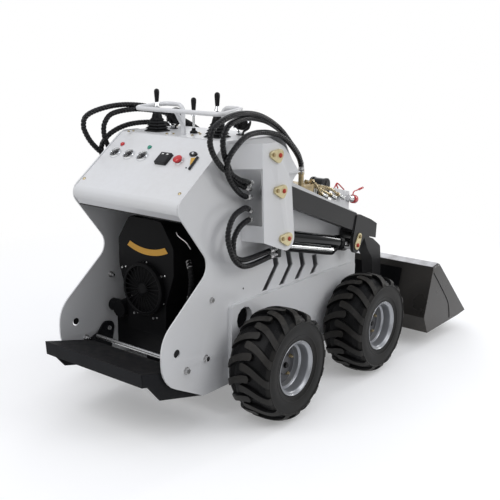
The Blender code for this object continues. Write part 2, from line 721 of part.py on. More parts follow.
# Columns: along and up from the bucket pivot, corner radius.
LEG_ROWS = (
    (-0.152, 0.485, 0), (-0.113, 0.485, 0), (-0.095, 0.402, 0), (-0.060, 0.390, 0), (0.015, 0.341, 0.020),
    (0.028, 0.2535, 0), (0.036, 0.000, 0), (0.036, -0.036, 0.036), (-0.036, -0.036, 0.036),
    (-0.036, 0.030, 0), (-0.050, 0.222, 0), (-0.062, 0.291, 0), (-0.104, 0.337, 0), (-0.152, 0.420, 0))
TUBE_HALF = 0.0325
TUBE_X = 0.9385
TUBE_Z = 0.6200
TILT_BASE_X = 0.990
TILT_BASE_Z = 0.800
TILT_LUG_GAP = 0.033
TILT_LUG_SHEET = 0.010
TILT_LUG_RADIUS = 0.030


def offset_rows(rows, x, z):
    return outline([(x + along, z + up, radius) for along, up, radius in rows])


for side, sign in SIDES:
    faces = sorted((sign * ARM_OUTER, sign * ARM_INNER))
    along = (cos(BEAM_SLOPE), -sin(BEAM_SLOPE))
    above = (sin(BEAM_SLOPE), cos(BEAM_SLOPE))
    corners = []
    for length, height in ((0, BEAM_ABOVE), (BEAM_LENGTH, BEAM_ABOVE), (BEAM_LENGTH, -BEAM_BELOW), (0, -BEAM_BELOW)):
        corners.append((ARM_PIVOT_X + along[0] * length + above[0] * height,
                        ARM_PIVOT_Z + along[1] * length + above[1] * height))
    beam = slab("arm_" + side, [corners], *faces)
    boss = across("boss", ARM_PIVOT_X, ARM_PIVOT_Z, faces[0], faces[1], ARM_BOSS, FINE)
    knee = slab("knee", [offset_rows(KNEE_ROWS, ELBOW_X, ELBOW_Z)], *sorted((sign * KNEE_OUTER, sign * KNEE_INNER)))
    leg = slab("leg", [offset_rows(LEG_ROWS, BUCKET_PIVOT_X, BUCKET_PIVOT_Z)],
               *sorted((sign * LEG_OUTER, sign * LEG_INNER)))
    fuse(beam, boss, knee, leg)
    low = sign * (LEG_INNER - OVERRUN)
    high = sign * (ARM_OUTER + OVERRUN)
    bores = [across("bore", ARM_PIVOT_X, ARM_PIVOT_Z, low, high, bore_radius(ARM_PIN_RADIUS)),
             across("bore", BUCKET_PIVOT_X, BUCKET_PIVOT_Z, low, high, bore_radius(CYLINDER_PIN_RADIUS))]
    slot = sorted((sign * (CYLINDER_LINE - CLEVIS_HALF), sign * (CYLINDER_LINE + CLEVIS_HALF)))
    bores.append(box("slot", (ELBOW_X - CLEVIS_REAR, slot[0], ELBOW_Z - CLEVIS_REAR),
                     (ELBOW_X + CLEVIS_FRONT, slot[1], ELBOW_Z + CLEVIS_TOP)))
    finish(cut(beam, *bores), GREY)

TUBE_END = LEG_INNER - GAP
cross = box("arm_cross_tube", (TUBE_X - TUBE_HALF, -TUBE_END, TUBE_Z - TUBE_HALF),
            (TUBE_X + TUBE_HALF, TUBE_END, TUBE_Z + TUBE_HALF))
lug_rows = [(TUBE_X - TUBE_HALF, TUBE_Z, 0), (TUBE_X + TUBE_HALF, TUBE_Z, 0),
            (TILT_BASE_X + TILT_LUG_RADIUS, TILT_BASE_Z - TILT_LUG_RADIUS, 0.020),
            (TILT_BASE_X + TILT_LUG_RADIUS, TILT_BASE_Z + TILT_LUG_RADIUS, TILT_LUG_RADIUS),
            (TILT_BASE_X - TILT_LUG_RADIUS, TILT_BASE_Z + TILT_LUG_RADIUS, TILT_LUG_RADIUS)]
lugs = []
for sign in (-1, 1):
    faces = sorted((sign * TILT_LUG_GAP, sign * (TILT_LUG_GAP + TILT_LUG_SHEET)))
    lugs.append(slab("lug", [outline(lug_rows)], *faces))
tilt_pin_end = TILT_LUG_GAP + TILT_LUG_SHEET * 1.4
lugs.append(across("pin", TILT_BASE_X, TILT_BASE_Z, -tilt_pin_end, tilt_pin_end, CYLINDER_PIN_RADIUS))
finish(fuse(cross, *lugs), GREY)

# Hydraulic cylinders: barrel on its base pin, rod with an eye. Each is given at rest, pin to pin.
BARREL_RADIUS = 0.031
ROD_RADIUS = 0.016
EYE_RADIUS = 0.026
EYE_HALF = 0.018
BASE_EYE_RADIUS = 0.034
BASE_EYE_HALF = 0.024
BARREL_END = 0.489
BORE_START = 0.130
ROD_START = 0.150
TILT_BARREL_RADIUS = 0.027
TILT_ROD_RADIUS = 0.0125
TILT_BARREL_END = 0.340
TILT_BORE_START = 0.095
TILT_ROD_START = 0.142
TILT_EYE_RADIUS = 0.022
TILT_EYE_HALF = 0.018
TILT_EYE_X = 1.100
TILT_EYE_Z = 0.380
TILT_BASE_HALF = 0.030
BOSS_RADIUS = 0.014
BOSS_AHEAD = 0.006
BOSS_DROP = 0.087
CAP_START_SHARE = 0.75


def cylinder_pair(names, base, eye, y, sizes, halves, mats, bosses=()):
    """Barrel and rod between two pins; sizes are radii and stations measured from the base pin."""
    barrel_radius, rod_radius, eye_radius, base_radius, barrel_end, bore_start, rod_start = sizes
    base_half, eye_half = halves
    run = Vector((eye[0] - base[0], 0, eye[1] - base[1]))
    way = run.normalized()
    origin = Vector((base[0], y, base[1]))
    barrel = rod(names[0], origin + way * base_radius * CAP_START_SHARE, origin + way * barrel_end, barrel_radius)
    knuckle = across("eye", base[0], base[1], y - base_half, y + base_half, base_radius)
    fuse(barrel, knuckle, *bosses)
    bore = rod("bore", origin + way * bore_start, origin + way * (barrel_end + OVERRUN), bore_radius(rod_radius))
    hole = across("hole", base[0], base[1], y - base_half - OVERRUN, y + base_half + OVERRUN,
                  bore_radius(CYLINDER_PIN_RADIUS))
    finish(cut(barrel, bore, hole), mats[0])
    bar = rod(names[1], origin + way * rod_start, origin + run, rod_radius)
    ring = across("eye", eye[0], eye[1], y - eye_half, y + eye_half, eye_radius)
    fuse(bar, ring)
    hole = across("hole", eye[0], eye[1], y - eye_half - OVERRUN, y + eye_half + OVERRUN,
                  eye_radius * 0.55)
    finish(cut(bar, hole), mats[1])


for side, sign in SIDES:
    boss_x = LIFT_BASE_X + BOSS_AHEAD
    boss = rod("boss", (boss_x, sign * CYLINDER_LINE, LIFT_BASE_Z - BASE_EYE_RADIUS / 2),
               (boss_x, sign * CYLINDER_LINE, LIFT_BASE_Z - BOSS_DROP), BOSS_RADIUS)
    cylinder_pair(("lift_barrel_" + side, "lift_rod_" + side), (LIFT_BASE_X, LIFT_BASE_Z), (ELBOW_X, ELBOW_Z),
                  sign * CYLINDER_LINE,
                  (BARREL_RADIUS, ROD_RADIUS, EYE_RADIUS, BASE_EYE_RADIUS, BARREL_END, BORE_START, ROD_START),
                  (BASE_EYE_HALF, EYE_HALF), (GREY, STEEL), (boss,))
cylinder_pair(("tilt_barrel", "tilt_rod"), (TILT_BASE_X, TILT_BASE_Z), (TILT_EYE_X, TILT_EYE_Z), 0,
              (TILT_BARREL_RADIUS, TILT_ROD_RADIUS, TILT_EYE_RADIUS, TILT_BARREL_RADIUS, TILT_BARREL_END,
               TILT_BORE_START, TILT_ROD_START), (TILT_BASE_HALF, TILT_EYE_HALF), (GREY, STEEL))

# Bucket: bent sheet between two end plates, and the quick attach plate behind it.
BUCKET_HALF = 0.560
BUCKET_SHEET = 0.008
END_SHEET = 0.008
HEEL_X = 1.164
HEEL_Z = 0.077
LOW_BACK_X = 1.119
LOW_BACK_Z = 0.168
HIGH_BACK_X = 1.191
HIGH_BACK_Z = 0.413
RIM_X = 1.254
RIM_Z = 0.421
LIP_Z = 0.090
EDGE_X = 1.526
EDGE_Z = 0.083
shell_line = [(LIP_X, LIP_Z), (EDGE_X, EDGE_Z), (HEEL_X, HEEL_Z), (LOW_BACK_X, LOW_BACK_Z),
              (HIGH_BACK_X, HIGH_BACK_Z), (RIM_X, RIM_Z)]
inside = sheet(shell_line, BUCKET_SHEET)[len(shell_line):]
mouth = [(inside[-1][0] + OVERRUN, inside[-1][1]), (LIP_X + BUCKET_SHEET, RIM_Z), (inside[0][0] + OVERRUN, inside[0][1])]
bucket = slab("bucket", [shell_line], -BUCKET_HALF, BUCKET_HALF)
space = slab("space", [inside + mouth], -BUCKET_HALF + END_SHEET, BUCKET_HALF - END_SHEET)
finish(cut(bucket, space), BUCKET_PAINT)

PLATE_REACH = 0.072
PLATE_HALF = LEG_OUTER + PLATE_REACH
PLATE_SHEET = 0.012
PLATE_LOW = -0.020
PLATE_HIGH = 0.225
EAR_SHEET = 0.012
EAR_CLEAR = 0.006
EAR_RADIUS = 0.030
EAR_HEIGHT = 0.070
TILT_EAR_LOW = 0.120
TILT_EAR_HIGH = 0.215
TILT_EAR_GAP = 0.026
back = Vector((HIGH_BACK_X - LOW_BACK_X, HIGH_BACK_Z - LOW_BACK_Z)).normalized()
rear = Vector((-back.y, back.x))


def on_back(up, behind):
    """Point up the bucket's back from its lower corner, and behind it."""
    point = Vector((LOW_BACK_X, LOW_BACK_Z)) + back * up + rear * behind
    return (point.x, point.y)


plate_corners = [on_back(0, GAP), on_back(PLATE_HIGH, GAP), on_back(PLATE_HIGH, PLATE_SHEET),
                 on_back(PLATE_LOW, PLATE_SHEET), on_back(PLATE_LOW, PLATE_SHEET / 2)]
attach = slab("quick_attach", [plate_corners], -PLATE_HALF, PLATE_HALF)
ear_rows = [(*on_back(0, PLATE_SHEET / 2), 0), (*on_back(EAR_HEIGHT, PLATE_SHEET / 2), 0),
            (BUCKET_PIVOT_X - EAR_RADIUS, BUCKET_PIVOT_Z + EAR_RADIUS, EAR_RADIUS),
            (BUCKET_PIVOT_X - EAR_RADIUS, BUCKET_PIVOT_Z - EAR_RADIUS, EAR_RADIUS)]
tilt_rows = [(*on_back(TILT_EAR_LOW, PLATE_SHEET / 2), 0), (*on_back(TILT_EAR_HIGH, PLATE_SHEET / 2), 0),
             (TILT_EYE_X - TILT_EYE_RADIUS, TILT_EYE_Z + TILT_EYE_RADIUS, TILT_EYE_RADIUS),
             (TILT_EYE_X - TILT_EYE_RADIUS, TILT_EYE_Z - TILT_EYE_RADIUS, TILT_EYE_RADIUS)]
ears = []
for sign in (-1, 1):
    for start in (LEG_OUTER + EAR_CLEAR, LEG_INNER - EAR_CLEAR - EAR_SHEET):
        ears.append(slab("ear", [outline(ear_rows)], *sorted((sign * start, sign * (start + EAR_SHEET)))))
    ears.append(across("pin", BUCKET_PIVOT_X, BUCKET_PIVOT_Z, sign * (LEG_INNER - EAR_CLEAR - EAR_SHEET * 1.4),
                       sign * (LEG_OUTER + EAR_CLEAR + EAR_SHEET * 1.4), CYLINDER_PIN_RADIUS))
    ears.append(slab("ear", [outline(tilt_rows)], *sorted((sign * TILT_EAR_GAP, sign * (TILT_EAR_GAP + EAR_SHEET)))))
finish(fuse(attach, *ears), BLACK)

# Operator's platform: folded tread on two ears, hinged between the side plates.
PLATFORM_CLEAR = 0.009
PLATFORM_HALF = INNER_HALF - PLATFORM_CLEAR
PLATFORM_SHEET = 0.006
PIVOT_BOLT = 0.008
# Columns: rearward and upward from the pivot along the platform, corner radius.
EAR_ROWS = (
    (0.333, -0.052, 0), (0.317, -0.101, 0), (0.293, -0.101, 0), (0.215, -0.156, 0), (-0.035, -0.155, 0),
    (-0.030, 0.030, 0.030), (0.034, 0.030, 0.030), (0.060, -0.020, 0.020), (0.110, -0.052, 0.020))
TREAD_ROWS = ((0.318, -0.103), (TREAD_LENGTH, -TREAD_DROP), (0.090, -TREAD_DROP))
CROSS_ROD_ALONG = 0.064
CROSS_ROD_UP = -0.034
CROSS_ROD_RADIUS = 0.009


def on_platform(along, up):
    x = PLATFORM_PIVOT_X - along * cos(PLATFORM_TILT) + up * sin(PLATFORM_TILT)
    z = PLATFORM_PIVOT_Z + along * sin(PLATFORM_TILT) + up * cos(PLATFORM_TILT)
    return (x, z)


tread_line = [on_platform(*row) for row in TREAD_ROWS]
tread_half = PLATFORM_HALF - PLATFORM_SHEET / 2
platform = slab("platform", [sheet(tread_line, PLATFORM_SHEET)], -tread_half, tread_half)
ear_line = outline([(*on_platform(along, up), radius) for along, up, radius in EAR_ROWS])
ears = []
for sign in (-1, 1):
    faces = sorted((sign * (PLATFORM_HALF - PLATFORM_SHEET), sign * PLATFORM_HALF))
    ears.append(slab("ear", [ear_line, circle(PLATFORM_PIVOT_X, PLATFORM_PIVOT_Z, bore_radius(PIVOT_BOLT))], *faces))
finish(fuse(platform, *ears), BLACK)
rod_x, rod_z = on_platform(CROSS_ROD_ALONG, CROSS_ROD_UP)
rod_end = PLATFORM_HALF - PLATFORM_SHEET - GAP
finish(across("platform_rod", rod_x, rod_z, -rod_end, rod_end, CROSS_ROD_RADIUS), STEEL)
for side, sign in SIDES:
    plate = bpy.data.objects["side_plate_" + side]
    bolt = across("bolt", PLATFORM_PIVOT_X, PLATFORM_PIVOT_Z, sign * (BODY_HALF_WIDTH + PIVOT_BOLT),
                  sign * (PLATFORM_HALF - PLATFORM_SHEET * 2), PIVOT_BOLT)
    finish(fuse(plate, bolt), WHITE)

# Engine: one block with its shroud to the open rear, fan cover, silencer and the two drive motors.
ENGINE_REAR = -0.215
ENGINE_DEPTH = 0.400
ENGINE_TOP = 0.800
ENGINE_BASE = BODY_BOTTOM + FLOOR_SHEET + GAP
BASE_HALF = 0.150
BASE_TOP = 0.340
MOTOR_RADIUS = 0.046
MOTOR_GAP = 0.001
ENGINE_LINE = 0.036
SILENCER_RADIUS = 0.036
SILENCER_LINE = 0.180
SILENCER_Z = 0.395
SILENCER_REAR = -0.235
# Columns: half width, height, corner radius of the shroud seen from behind.
SHROUD_ROWS = (
    (0.090, ENGINE_TOP, 0.030), (0.156, 0.700, 0.020), (0.156, 0.585, 0.020), (0.112, 0.460, 0.020),
    (0.110, 0.320, 0))
FAN_RADIUS = 0.110
FAN_Z = 0.510
FAN_DEPTH = 0.022
FAN_RING = 0.012
FAN_HUB = 0.022
FAN_SHEET = 0.004
shroud_rows = [(ENGINE_LINE - y, z, r) for y, z, r in SHROUD_ROWS]
shroud_rows += [(ENGINE_LINE + y, z, r) for y, z, r in reversed(SHROUD_ROWS)]
engine = slab("engine", [outline(shroud_rows)], ENGINE_REAR, ENGINE_REAR + ENGINE_DEPTH, "X")
base = box("base", (ENGINE_REAR + FAN_RADIUS, -BASE_HALF, ENGINE_BASE),
           (ENGINE_REAR + ENGINE_DEPTH - SILENCER_RADIUS, BASE_HALF, BASE_TOP))
motors = [across("motor", MOTOR_HOLE_X, MOTOR_HOLE_Z, 0, sign * (INNER_HALF - MOTOR_GAP), MOTOR_RADIUS)
          for side, sign in SIDES]
silencer = rod("silencer", (SILENCER_REAR, SILENCER_LINE, SILENCER_Z),
               (ENGINE_REAR + ENGINE_DEPTH / 2, SILENCER_LINE, SILENCER_Z), SILENCER_RADIUS)
finish(fuse(engine, base, *motors, silencer), BLACK)
fan_profile = [(0, 0), (FAN_RADIUS, 0), (FAN_RADIUS, FAN_DEPTH), (FAN_RADIUS - FAN_RING, FAN_DEPTH),
               (FAN_RADIUS - FAN_RING, FAN_SHEET), (FAN_HUB, FAN_SHEET), (FAN_HUB, FAN_DEPTH), (0, FAN_DEPTH)]
fan_turn = Matrix.Translation((ENGINE_REAR - GAP, ENGINE_LINE, FAN_Z)) @ Matrix.Rotation(-pi / 2, 4, "Y")
finish(turned("fan_cover", fan_profile, fan_turn), BLACK)

# Controls on the deck: two joysticks in square bellows, a central lever, the handlebar and two lamps.
LEVER_X = -0.005
LEVER_SHARE = 0.57
LEVER_Y = BODY_HALF_WIDTH * LEVER_SHARE
LEVER_TOP = 1.300
BOOT_HALF = 0.039
BOOT_TOP_HALF = 0.013
BOOT_HEIGHT = 0.086
BOOT_TIERS = 5
BOOT_FOLD = 0.80
STICK_RADIUS = 0.005
GRIP_RADIUS = 0.0125
GRIP_LENGTH = 0.062
SEAT_TOP = DECK_TOP + GAP


def bellows_profile():
    """Zigzag from the top of the boot down to its foot; the tiers step out evenly."""
    rows = [(0, BOOT_HEIGHT), (BOOT_TOP_HALF, BOOT_HEIGHT)]
    tier = BOOT_HEIGHT / (BOOT_TIERS + 1)
    for i in range(BOOT_TIERS):
        wide = BOOT_TOP_HALF + (BOOT_HALF - BOOT_TOP_HALF) * (i + 1) / BOOT_TIERS
        high = BOOT_HEIGHT - tier * (i + 1)
        rows.append((wide * BOOT_FOLD, high + tier * 0.25))
        rows.append((wide, high))
    rows.append((BOOT_HALF, 0))
    rows.append((0, 0))
    return [(r * 2 ** 0.5, h) for r, h in rows]


for side, sign in SIDES:
    place = Matrix.Translation((LEVER_X, sign * LEVER_Y, SEAT_TOP)) @ Matrix.Rotation(pi / 4, 4, "Z")
    boot = turned("control_lever_" + side, bellows_profile(), place, 4)
    foot = (LEVER_X, sign * LEVER_Y, SEAT_TOP + BOOT_HEIGHT / 2)
    stick = rod("stick", foot, (LEVER_X, sign * LEVER_Y, LEVER_TOP - GRIP_LENGTH / 2), STICK_RADIUS, 10)
    grip = rod("grip", (LEVER_X, sign * LEVER_Y, LEVER_TOP - GRIP_LENGTH), (LEVER_X, sign * LEVER_Y, LEVER_TOP),
               GRIP_RADIUS * 0.7, 12, GRIP_RADIUS)
    finish(fuse(boot, stick, grip), PLASTIC)

MIDDLE_LEVER_X = 0.040
MIDDLE_LEVER_TOP = 1.270
MIDDLE_BASE = 0.016
BASE_PLATE = 0.006
middle = rod("control_lever_middle", (MIDDLE_LEVER_X, 0, SEAT_TOP), (MIDDLE_LEVER_X, 0, SEAT_TOP + BASE_PLATE), MIDDLE_BASE, 12)
stick = rod("stick", (MIDDLE_LEVER_X, 0, SEAT_TOP + BASE_PLATE / 2),
            (MIDDLE_LEVER_X, 0, MIDDLE_LEVER_TOP - GRIP_LENGTH / 2), STICK_RADIUS, 10)
grip = rod("grip", (MIDDLE_LEVER_X, 0, MIDDLE_LEVER_TOP - GRIP_LENGTH), (MIDDLE_LEVER_X, 0, MIDDLE_LEVER_TOP),
           GRIP_RADIUS * 0.7, 12, GRIP_RADIUS)
finish(fuse(middle, stick, grip), PLASTIC)

BAR_RADIUS = 0.0095
BAR_REAR_X = -0.066
BAR_FRONT_X = 0.095
BAR_SHARE = 0.817
BAR_FRONT_SHARE = 0.741
BAR_FOOT_SHARE = 0.379
BAR_HALF = BODY_HALF_WIDTH * BAR_SHARE
BAR_FRONT_HALF = BODY_HALF_WIDTH * BAR_FRONT_SHARE
BAR_FOOT_Y = BODY_HALF_WIDTH * BAR_FOOT_SHARE
BAR_REAR_Z = 1.220
BAR_FRONT_Z = 1.232
BAR_BEND = 0.030
POST_X = -0.020
POST_FOOT = 0.030


def bend_3d(corners, radius):
    points = [Vector(corners[0])]
    for before, corner, after in zip(corners, corners[1:], corners[2:]):
        corner = Vector(corner)
        a = (Vector(before) - corner).normalized()
        b = (Vector(after) - corner).normalized()
        reach = radius / tan(a.angle(b) / 2)
        middle = corner + (a + b).normalized() * (radius / sin(a.angle(b) / 2))
        start = corner + a * reach - middle
        end = corner + b * reach - middle
        turn = start.angle(end)
        steps = corner_steps(turn, radius)
        for i in range(steps + 1):
            t = i / steps
            points.append(middle + (start * sin((1 - t) * turn) + end * sin(t * turn)) / sin(turn))
    points.append(Vector(corners[-1]))
    return points


bar_corners = [(BAR_FRONT_X, BAR_FOOT_Y, SEAT_TOP), (BAR_FRONT_X, BAR_FOOT_Y, BAR_FRONT_Z),
               (BAR_FRONT_X, BAR_FRONT_HALF, BAR_FRONT_Z), (BAR_REAR_X, BAR_HALF, BAR_REAR_Z)]
bar_corners = bar_corners + [(x, -y, z) for x, y, z in reversed(bar_corners)]
bar = tube("handlebar", bend_3d(bar_corners, BAR_BEND), BAR_RADIUS)
post_corners = [(POST_X, 0, SEAT_TOP), (POST_X, 0, SEAT_TOP + POST_FOOT), (BAR_REAR_X, 0, BAR_REAR_Z)]
post = tube("post", bend_3d(post_corners, BAR_BEND), BAR_RADIUS)
finish(fuse(bar, post), WHITE)

LAMP_X = 0.120
LAMP_SHARE = 0.645
LAMP_Y = BODY_HALF_WIDTH * LAMP_SHARE
LAMP_Z = 1.178
LAMP_RADIUS = 0.036
LAMP_DEPTH = 0.034
LAMP_FOOT = 0.014
for side, sign in SIDES:
    shell = rod("work_lamp_" + side, (LAMP_X - LAMP_DEPTH / 2, sign * LAMP_Y, LAMP_Z),
                (LAMP_X + LAMP_DEPTH / 2, sign * LAMP_Y, LAMP_Z), LAMP_RADIUS * 0.75, ROUND, LAMP_RADIUS)
    foot = box("foot", (LAMP_X - LAMP_FOOT, sign * LAMP_Y - LAMP_FOOT / 2, SEAT_TOP),
               (LAMP_X, sign * LAMP_Y + LAMP_FOOT / 2, LAMP_Z - LAMP_RADIUS / 2))
    finish(fuse(shell, foot), PLASTIC)

# Valve bank on the hood: a low block with three ports at each end for the hoses, and relief valve caps between.
VALVE_REAR = 0.415
VALVE_FRONT = 0.520
VALVE_CLEAR = 0.006
VALVE_HALF = INNER_HALF - VALVE_CLEAR
VALVE_HEIGHT = 0.052
PORT_RADIUS = 0.012
PORT_TOP = 0.940
CAP_COUNT = 4
CAP_LINE = 0.160
CAP_HEIGHT = 0.020
# Columns: along, inward from the side plate's outer face.
PORT_ROWS = ((0.436, 0.022), (0.466, 0.043), (0.495, 0.063))
COUPLER_REAR = 0.786
COUPLER_FRONT = 0.843
COUPLER_TOP = 0.822
COUPLER_INSET = 0.028
COUPLER_LINE = BODY_HALF_WIDTH - COUPLER_INSET
COUPLER_SHEET = 0.005
COUPLER_RADIUS = 0.013
COUPLER_LENGTH = 0.050
hood_run = Vector((HOOD_FRONT_X - HOOD_REAR_X, HOOD_FRONT_Z - HOOD_REAR_Z)).normalized()


def hood_height(x):
    """Height of the hood's upper face."""
    return HOOD_REAR_Z + (x - HOOD_REAR_X) * hood_run.y / hood_run.x


valve_top = hood_height(VALVE_FRONT) + VALVE_HEIGHT
valve_rows = [(VALVE_REAR, hood_height(VALVE_REAR) + GAP), (VALVE_FRONT, hood_height(VALVE_FRONT) + GAP),
              (VALVE_FRONT, valve_top), (VALVE_REAR, valve_top)]
valve = slab("valve_bank", [valve_rows], -VALVE_HALF, VALVE_HALF)
ports = []
for side, sign in SIDES:
    for x, inward in PORT_ROWS:
        y = sign * (BODY_HALF_WIDTH - inward)
        ports.append(rod("port", (x, y, valve_top - PORT_RADIUS), (x, y, PORT_TOP), PORT_RADIUS, 8))
for i in range(CAP_COUNT):
    y = CAP_LINE * (2 * i / (CAP_COUNT - 1) - 1)
    x = (VALVE_REAR + VALVE_FRONT) / 2
    ports.append(rod("cap", (x, y, valve_top - PORT_RADIUS), (x, y, valve_top + CAP_HEIGHT), PORT_RADIUS, 6))
finish(fuse(valve, *ports), BRASS)

# Plate with the attachment's hose couplers, on the hood's right edge.
bracket_low = hood_height(COUPLER_FRONT) + GAP * 2
bracket_rows = [(COUPLER_REAR, hood_height(COUPLER_REAR) + GAP), (COUPLER_FRONT, bracket_low),
                (COUPLER_FRONT, COUPLER_TOP - COUPLER_RADIUS), (COUPLER_REAR, COUPLER_TOP)]
bracket = slab("coupler_bracket", [bracket_rows], -COUPLER_LINE - COUPLER_SHEET, -COUPLER_LINE)
coupler_x = (COUPLER_REAR + COUPLER_FRONT) / 2
coupler_z = COUPLER_TOP - COUPLER_RADIUS * 3
coupler_y = -COUPLER_LINE - COUPLER_RADIUS
socket = rod("socket", (coupler_x, coupler_y, coupler_z),
             (coupler_x + COUPLER_LENGTH, coupler_y, coupler_z - COUPLER_RADIUS), COUPLER_RADIUS)
finish(fuse(bracket, socket), WHITE)

# Hydraulic hoses: on each side three go in high arcs from a bulkhead behind the tower to the valve bank, and
# two in low loops to the lift cylinder's port. The bulkhead block on the side plate holds their rear ends.
HOSE_RADIUS = 0.010
HOSE_SPACING = 0.055
BULKHEAD_REAR = 0.045
BULKHEAD_DEPTH = 0.025
BULKHEAD_LOW = 0.778
BULKHEAD_HIGH = 0.968
BULKHEAD_WIDTH = 0.0247
# Points of a route: along, outward from the side plate's outer face, up.
HOSE_ROUTES = (
    ((0.055, 0.013, 0.950), (0.015, 0.026, 0.956), (-0.033, 0.047, 0.968), (-0.075, 0.043, 0.982),
     (-0.115, 0.039, 1.006), (-0.171, 0.042, 1.037), (-0.218, 0.046, 1.080), (-0.244, 0.049, 1.120),
     (-0.251, 0.053, 1.149), (-0.238, 0.056, 1.184), (-0.189, 0.051, 1.208), (-0.100, 0.038, 1.225),
     (-0.007, 0.024, 1.226), (0.090, 0.011, 1.212), (0.192, -0.003, 1.178), (0.282, -0.016, 1.133),
     (0.376, -0.030, 1.065), (0.440, -0.040, 1.008), (0.466, -0.043, 0.968), (0.466, -0.043, 0.9403)),
    ((0.055, 0.013, 0.922), (0.010, 0.018, 0.934), (-0.050, 0.022, 0.960), (-0.092, 0.028, 0.990),
     (-0.122, 0.031, 1.034), (-0.150, 0.034, 1.082), (-0.159, 0.035, 1.126), (-0.149, 0.035, 1.162),
     (-0.113, 0.032, 1.193), (-0.032, 0.019, 1.206), (0.051, 0.003, 1.204), (0.172, -0.014, 1.181),
     (0.282, -0.030, 1.138), (0.380, -0.046, 1.079), (0.460, -0.060, 1.022), (0.495, -0.063, 0.972),
     (0.495, -0.063, 0.9403)),
    ((0.055, 0.013, 0.894), (0.005, 0.026, 0.900), (-0.046, 0.034, 0.919), (-0.095, 0.044, 0.950),
     (-0.136, 0.050, 0.990), (-0.157, 0.054, 1.031), (-0.148, 0.056, 1.072), (-0.099, 0.053, 1.112),
     (-0.025, 0.038, 1.140), (0.067, 0.022, 1.147), (0.164, 0.015, 1.138), (0.248, 0.0145, 1.113),
     (0.327, 0.006, 1.066), (0.399, -0.010, 1.012), (0.436, -0.022, 0.968), (0.436, -0.022, 0.9403)),
    ((0.055, 0.013, 0.826), (0.025, 0.022, 0.843), (-0.010, 0.038, 0.858), (-0.051, 0.052, 0.867),
     (-0.110, 0.056, 0.851), (-0.144, 0.059, 0.817), (-0.159, 0.062, 0.771), (-0.147, 0.064, 0.720),
     (-0.116, 0.062, 0.673), (-0.072, 0.058, 0.643), (-0.020, 0.055, 0.632), (0.050, 0.052, 0.634),
     (0.110, 0.048, 0.638), (0.160, 0.045, 0.640)),
    ((0.055, 0.013, 0.798), (0.025, 0.025, 0.808), (-0.018, 0.042, 0.812), (-0.069, 0.046, 0.795),
     (-0.103, 0.048, 0.761), (-0.114, 0.051, 0.723), (-0.102, 0.049, 0.684), (-0.059, 0.048, 0.662),
     (0.001, 0.047, 0.658), (0.071, 0.046, 0.661), (0.120, 0.046, 0.664), (0.160, 0.045, 0.665)),
)
for side, sign in SIDES:
    near = BODY_HALF_WIDTH + GAP
    reach = sorted((sign * near, sign * (near + BULKHEAD_WIDTH)))
    block = box("hoses_" + side, (BULKHEAD_REAR, reach[0], BULKHEAD_LOW),
                (BULKHEAD_REAR + BULKHEAD_DEPTH, reach[1], BULKHEAD_HIGH))
    runs = []
    for route in HOSE_ROUTES:
        points = [(x, sign * (BODY_HALF_WIDTH + outward), z) for x, outward, z in route]
        runs.append(tube("run", smooth_route(points[:-1], HOSE_SPACING) + points[-1:], HOSE_RADIUS))
    finish(fuse(block, *runs), HOSE_RUBBER)
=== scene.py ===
import json
from math import cos, hypot, pi, radians, sin
import bmesh
import bpy
from mathutils import Matrix, Quaternion, Vector

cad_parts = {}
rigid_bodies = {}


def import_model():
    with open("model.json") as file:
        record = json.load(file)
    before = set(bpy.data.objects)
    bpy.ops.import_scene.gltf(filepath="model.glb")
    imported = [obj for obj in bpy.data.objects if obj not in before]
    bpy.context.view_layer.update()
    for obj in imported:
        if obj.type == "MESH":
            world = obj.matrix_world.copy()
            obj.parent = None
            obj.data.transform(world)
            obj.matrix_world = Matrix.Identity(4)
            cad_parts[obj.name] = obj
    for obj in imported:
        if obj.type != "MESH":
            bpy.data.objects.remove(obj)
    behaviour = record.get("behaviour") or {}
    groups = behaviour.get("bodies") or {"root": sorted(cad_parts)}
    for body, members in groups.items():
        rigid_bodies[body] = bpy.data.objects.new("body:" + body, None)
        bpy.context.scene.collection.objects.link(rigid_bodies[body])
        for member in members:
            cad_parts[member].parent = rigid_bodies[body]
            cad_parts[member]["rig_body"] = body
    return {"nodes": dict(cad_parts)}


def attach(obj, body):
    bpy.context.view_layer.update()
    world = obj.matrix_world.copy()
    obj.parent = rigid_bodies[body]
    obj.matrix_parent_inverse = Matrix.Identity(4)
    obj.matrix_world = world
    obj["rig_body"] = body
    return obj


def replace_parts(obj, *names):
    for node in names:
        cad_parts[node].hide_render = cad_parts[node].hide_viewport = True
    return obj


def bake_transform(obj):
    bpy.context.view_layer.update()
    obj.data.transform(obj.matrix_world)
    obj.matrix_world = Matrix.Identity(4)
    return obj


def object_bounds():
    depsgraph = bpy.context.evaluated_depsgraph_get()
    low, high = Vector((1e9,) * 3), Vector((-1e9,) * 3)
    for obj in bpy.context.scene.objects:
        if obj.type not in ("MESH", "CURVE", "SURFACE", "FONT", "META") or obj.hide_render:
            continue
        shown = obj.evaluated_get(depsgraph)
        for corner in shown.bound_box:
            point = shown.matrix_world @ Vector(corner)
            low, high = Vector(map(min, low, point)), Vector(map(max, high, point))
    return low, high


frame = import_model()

# The stage. Sizes below are machine coordinates in metres: X forward from the rear edge of the towers, Y to
# the left, Z up from the ground. The bucket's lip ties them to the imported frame. The camera stands where the
# photograph was taken from, behind the machine on its right and a little above the control panel.
LIP_X = 1.610
CAD_LOW, CAD_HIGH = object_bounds()
DATUM = Vector((CAD_HIGH.x - LIP_X, 0, 0))
SIDES = (("right", -1), ("left", 1))
EYE = Vector((-2.519, -2.318, 1.489))
EYE_YAW = radians(38.2314)
EYE_PITCH = radians(13.9819)
EYE_ROLL = radians(0.67262)
scene = bpy.context.scene
scene.view_settings.view_transform = "Standard"
camera = bpy.data.objects.new("camera", bpy.data.cameras.new("camera"))
camera.data.lens = 59.993
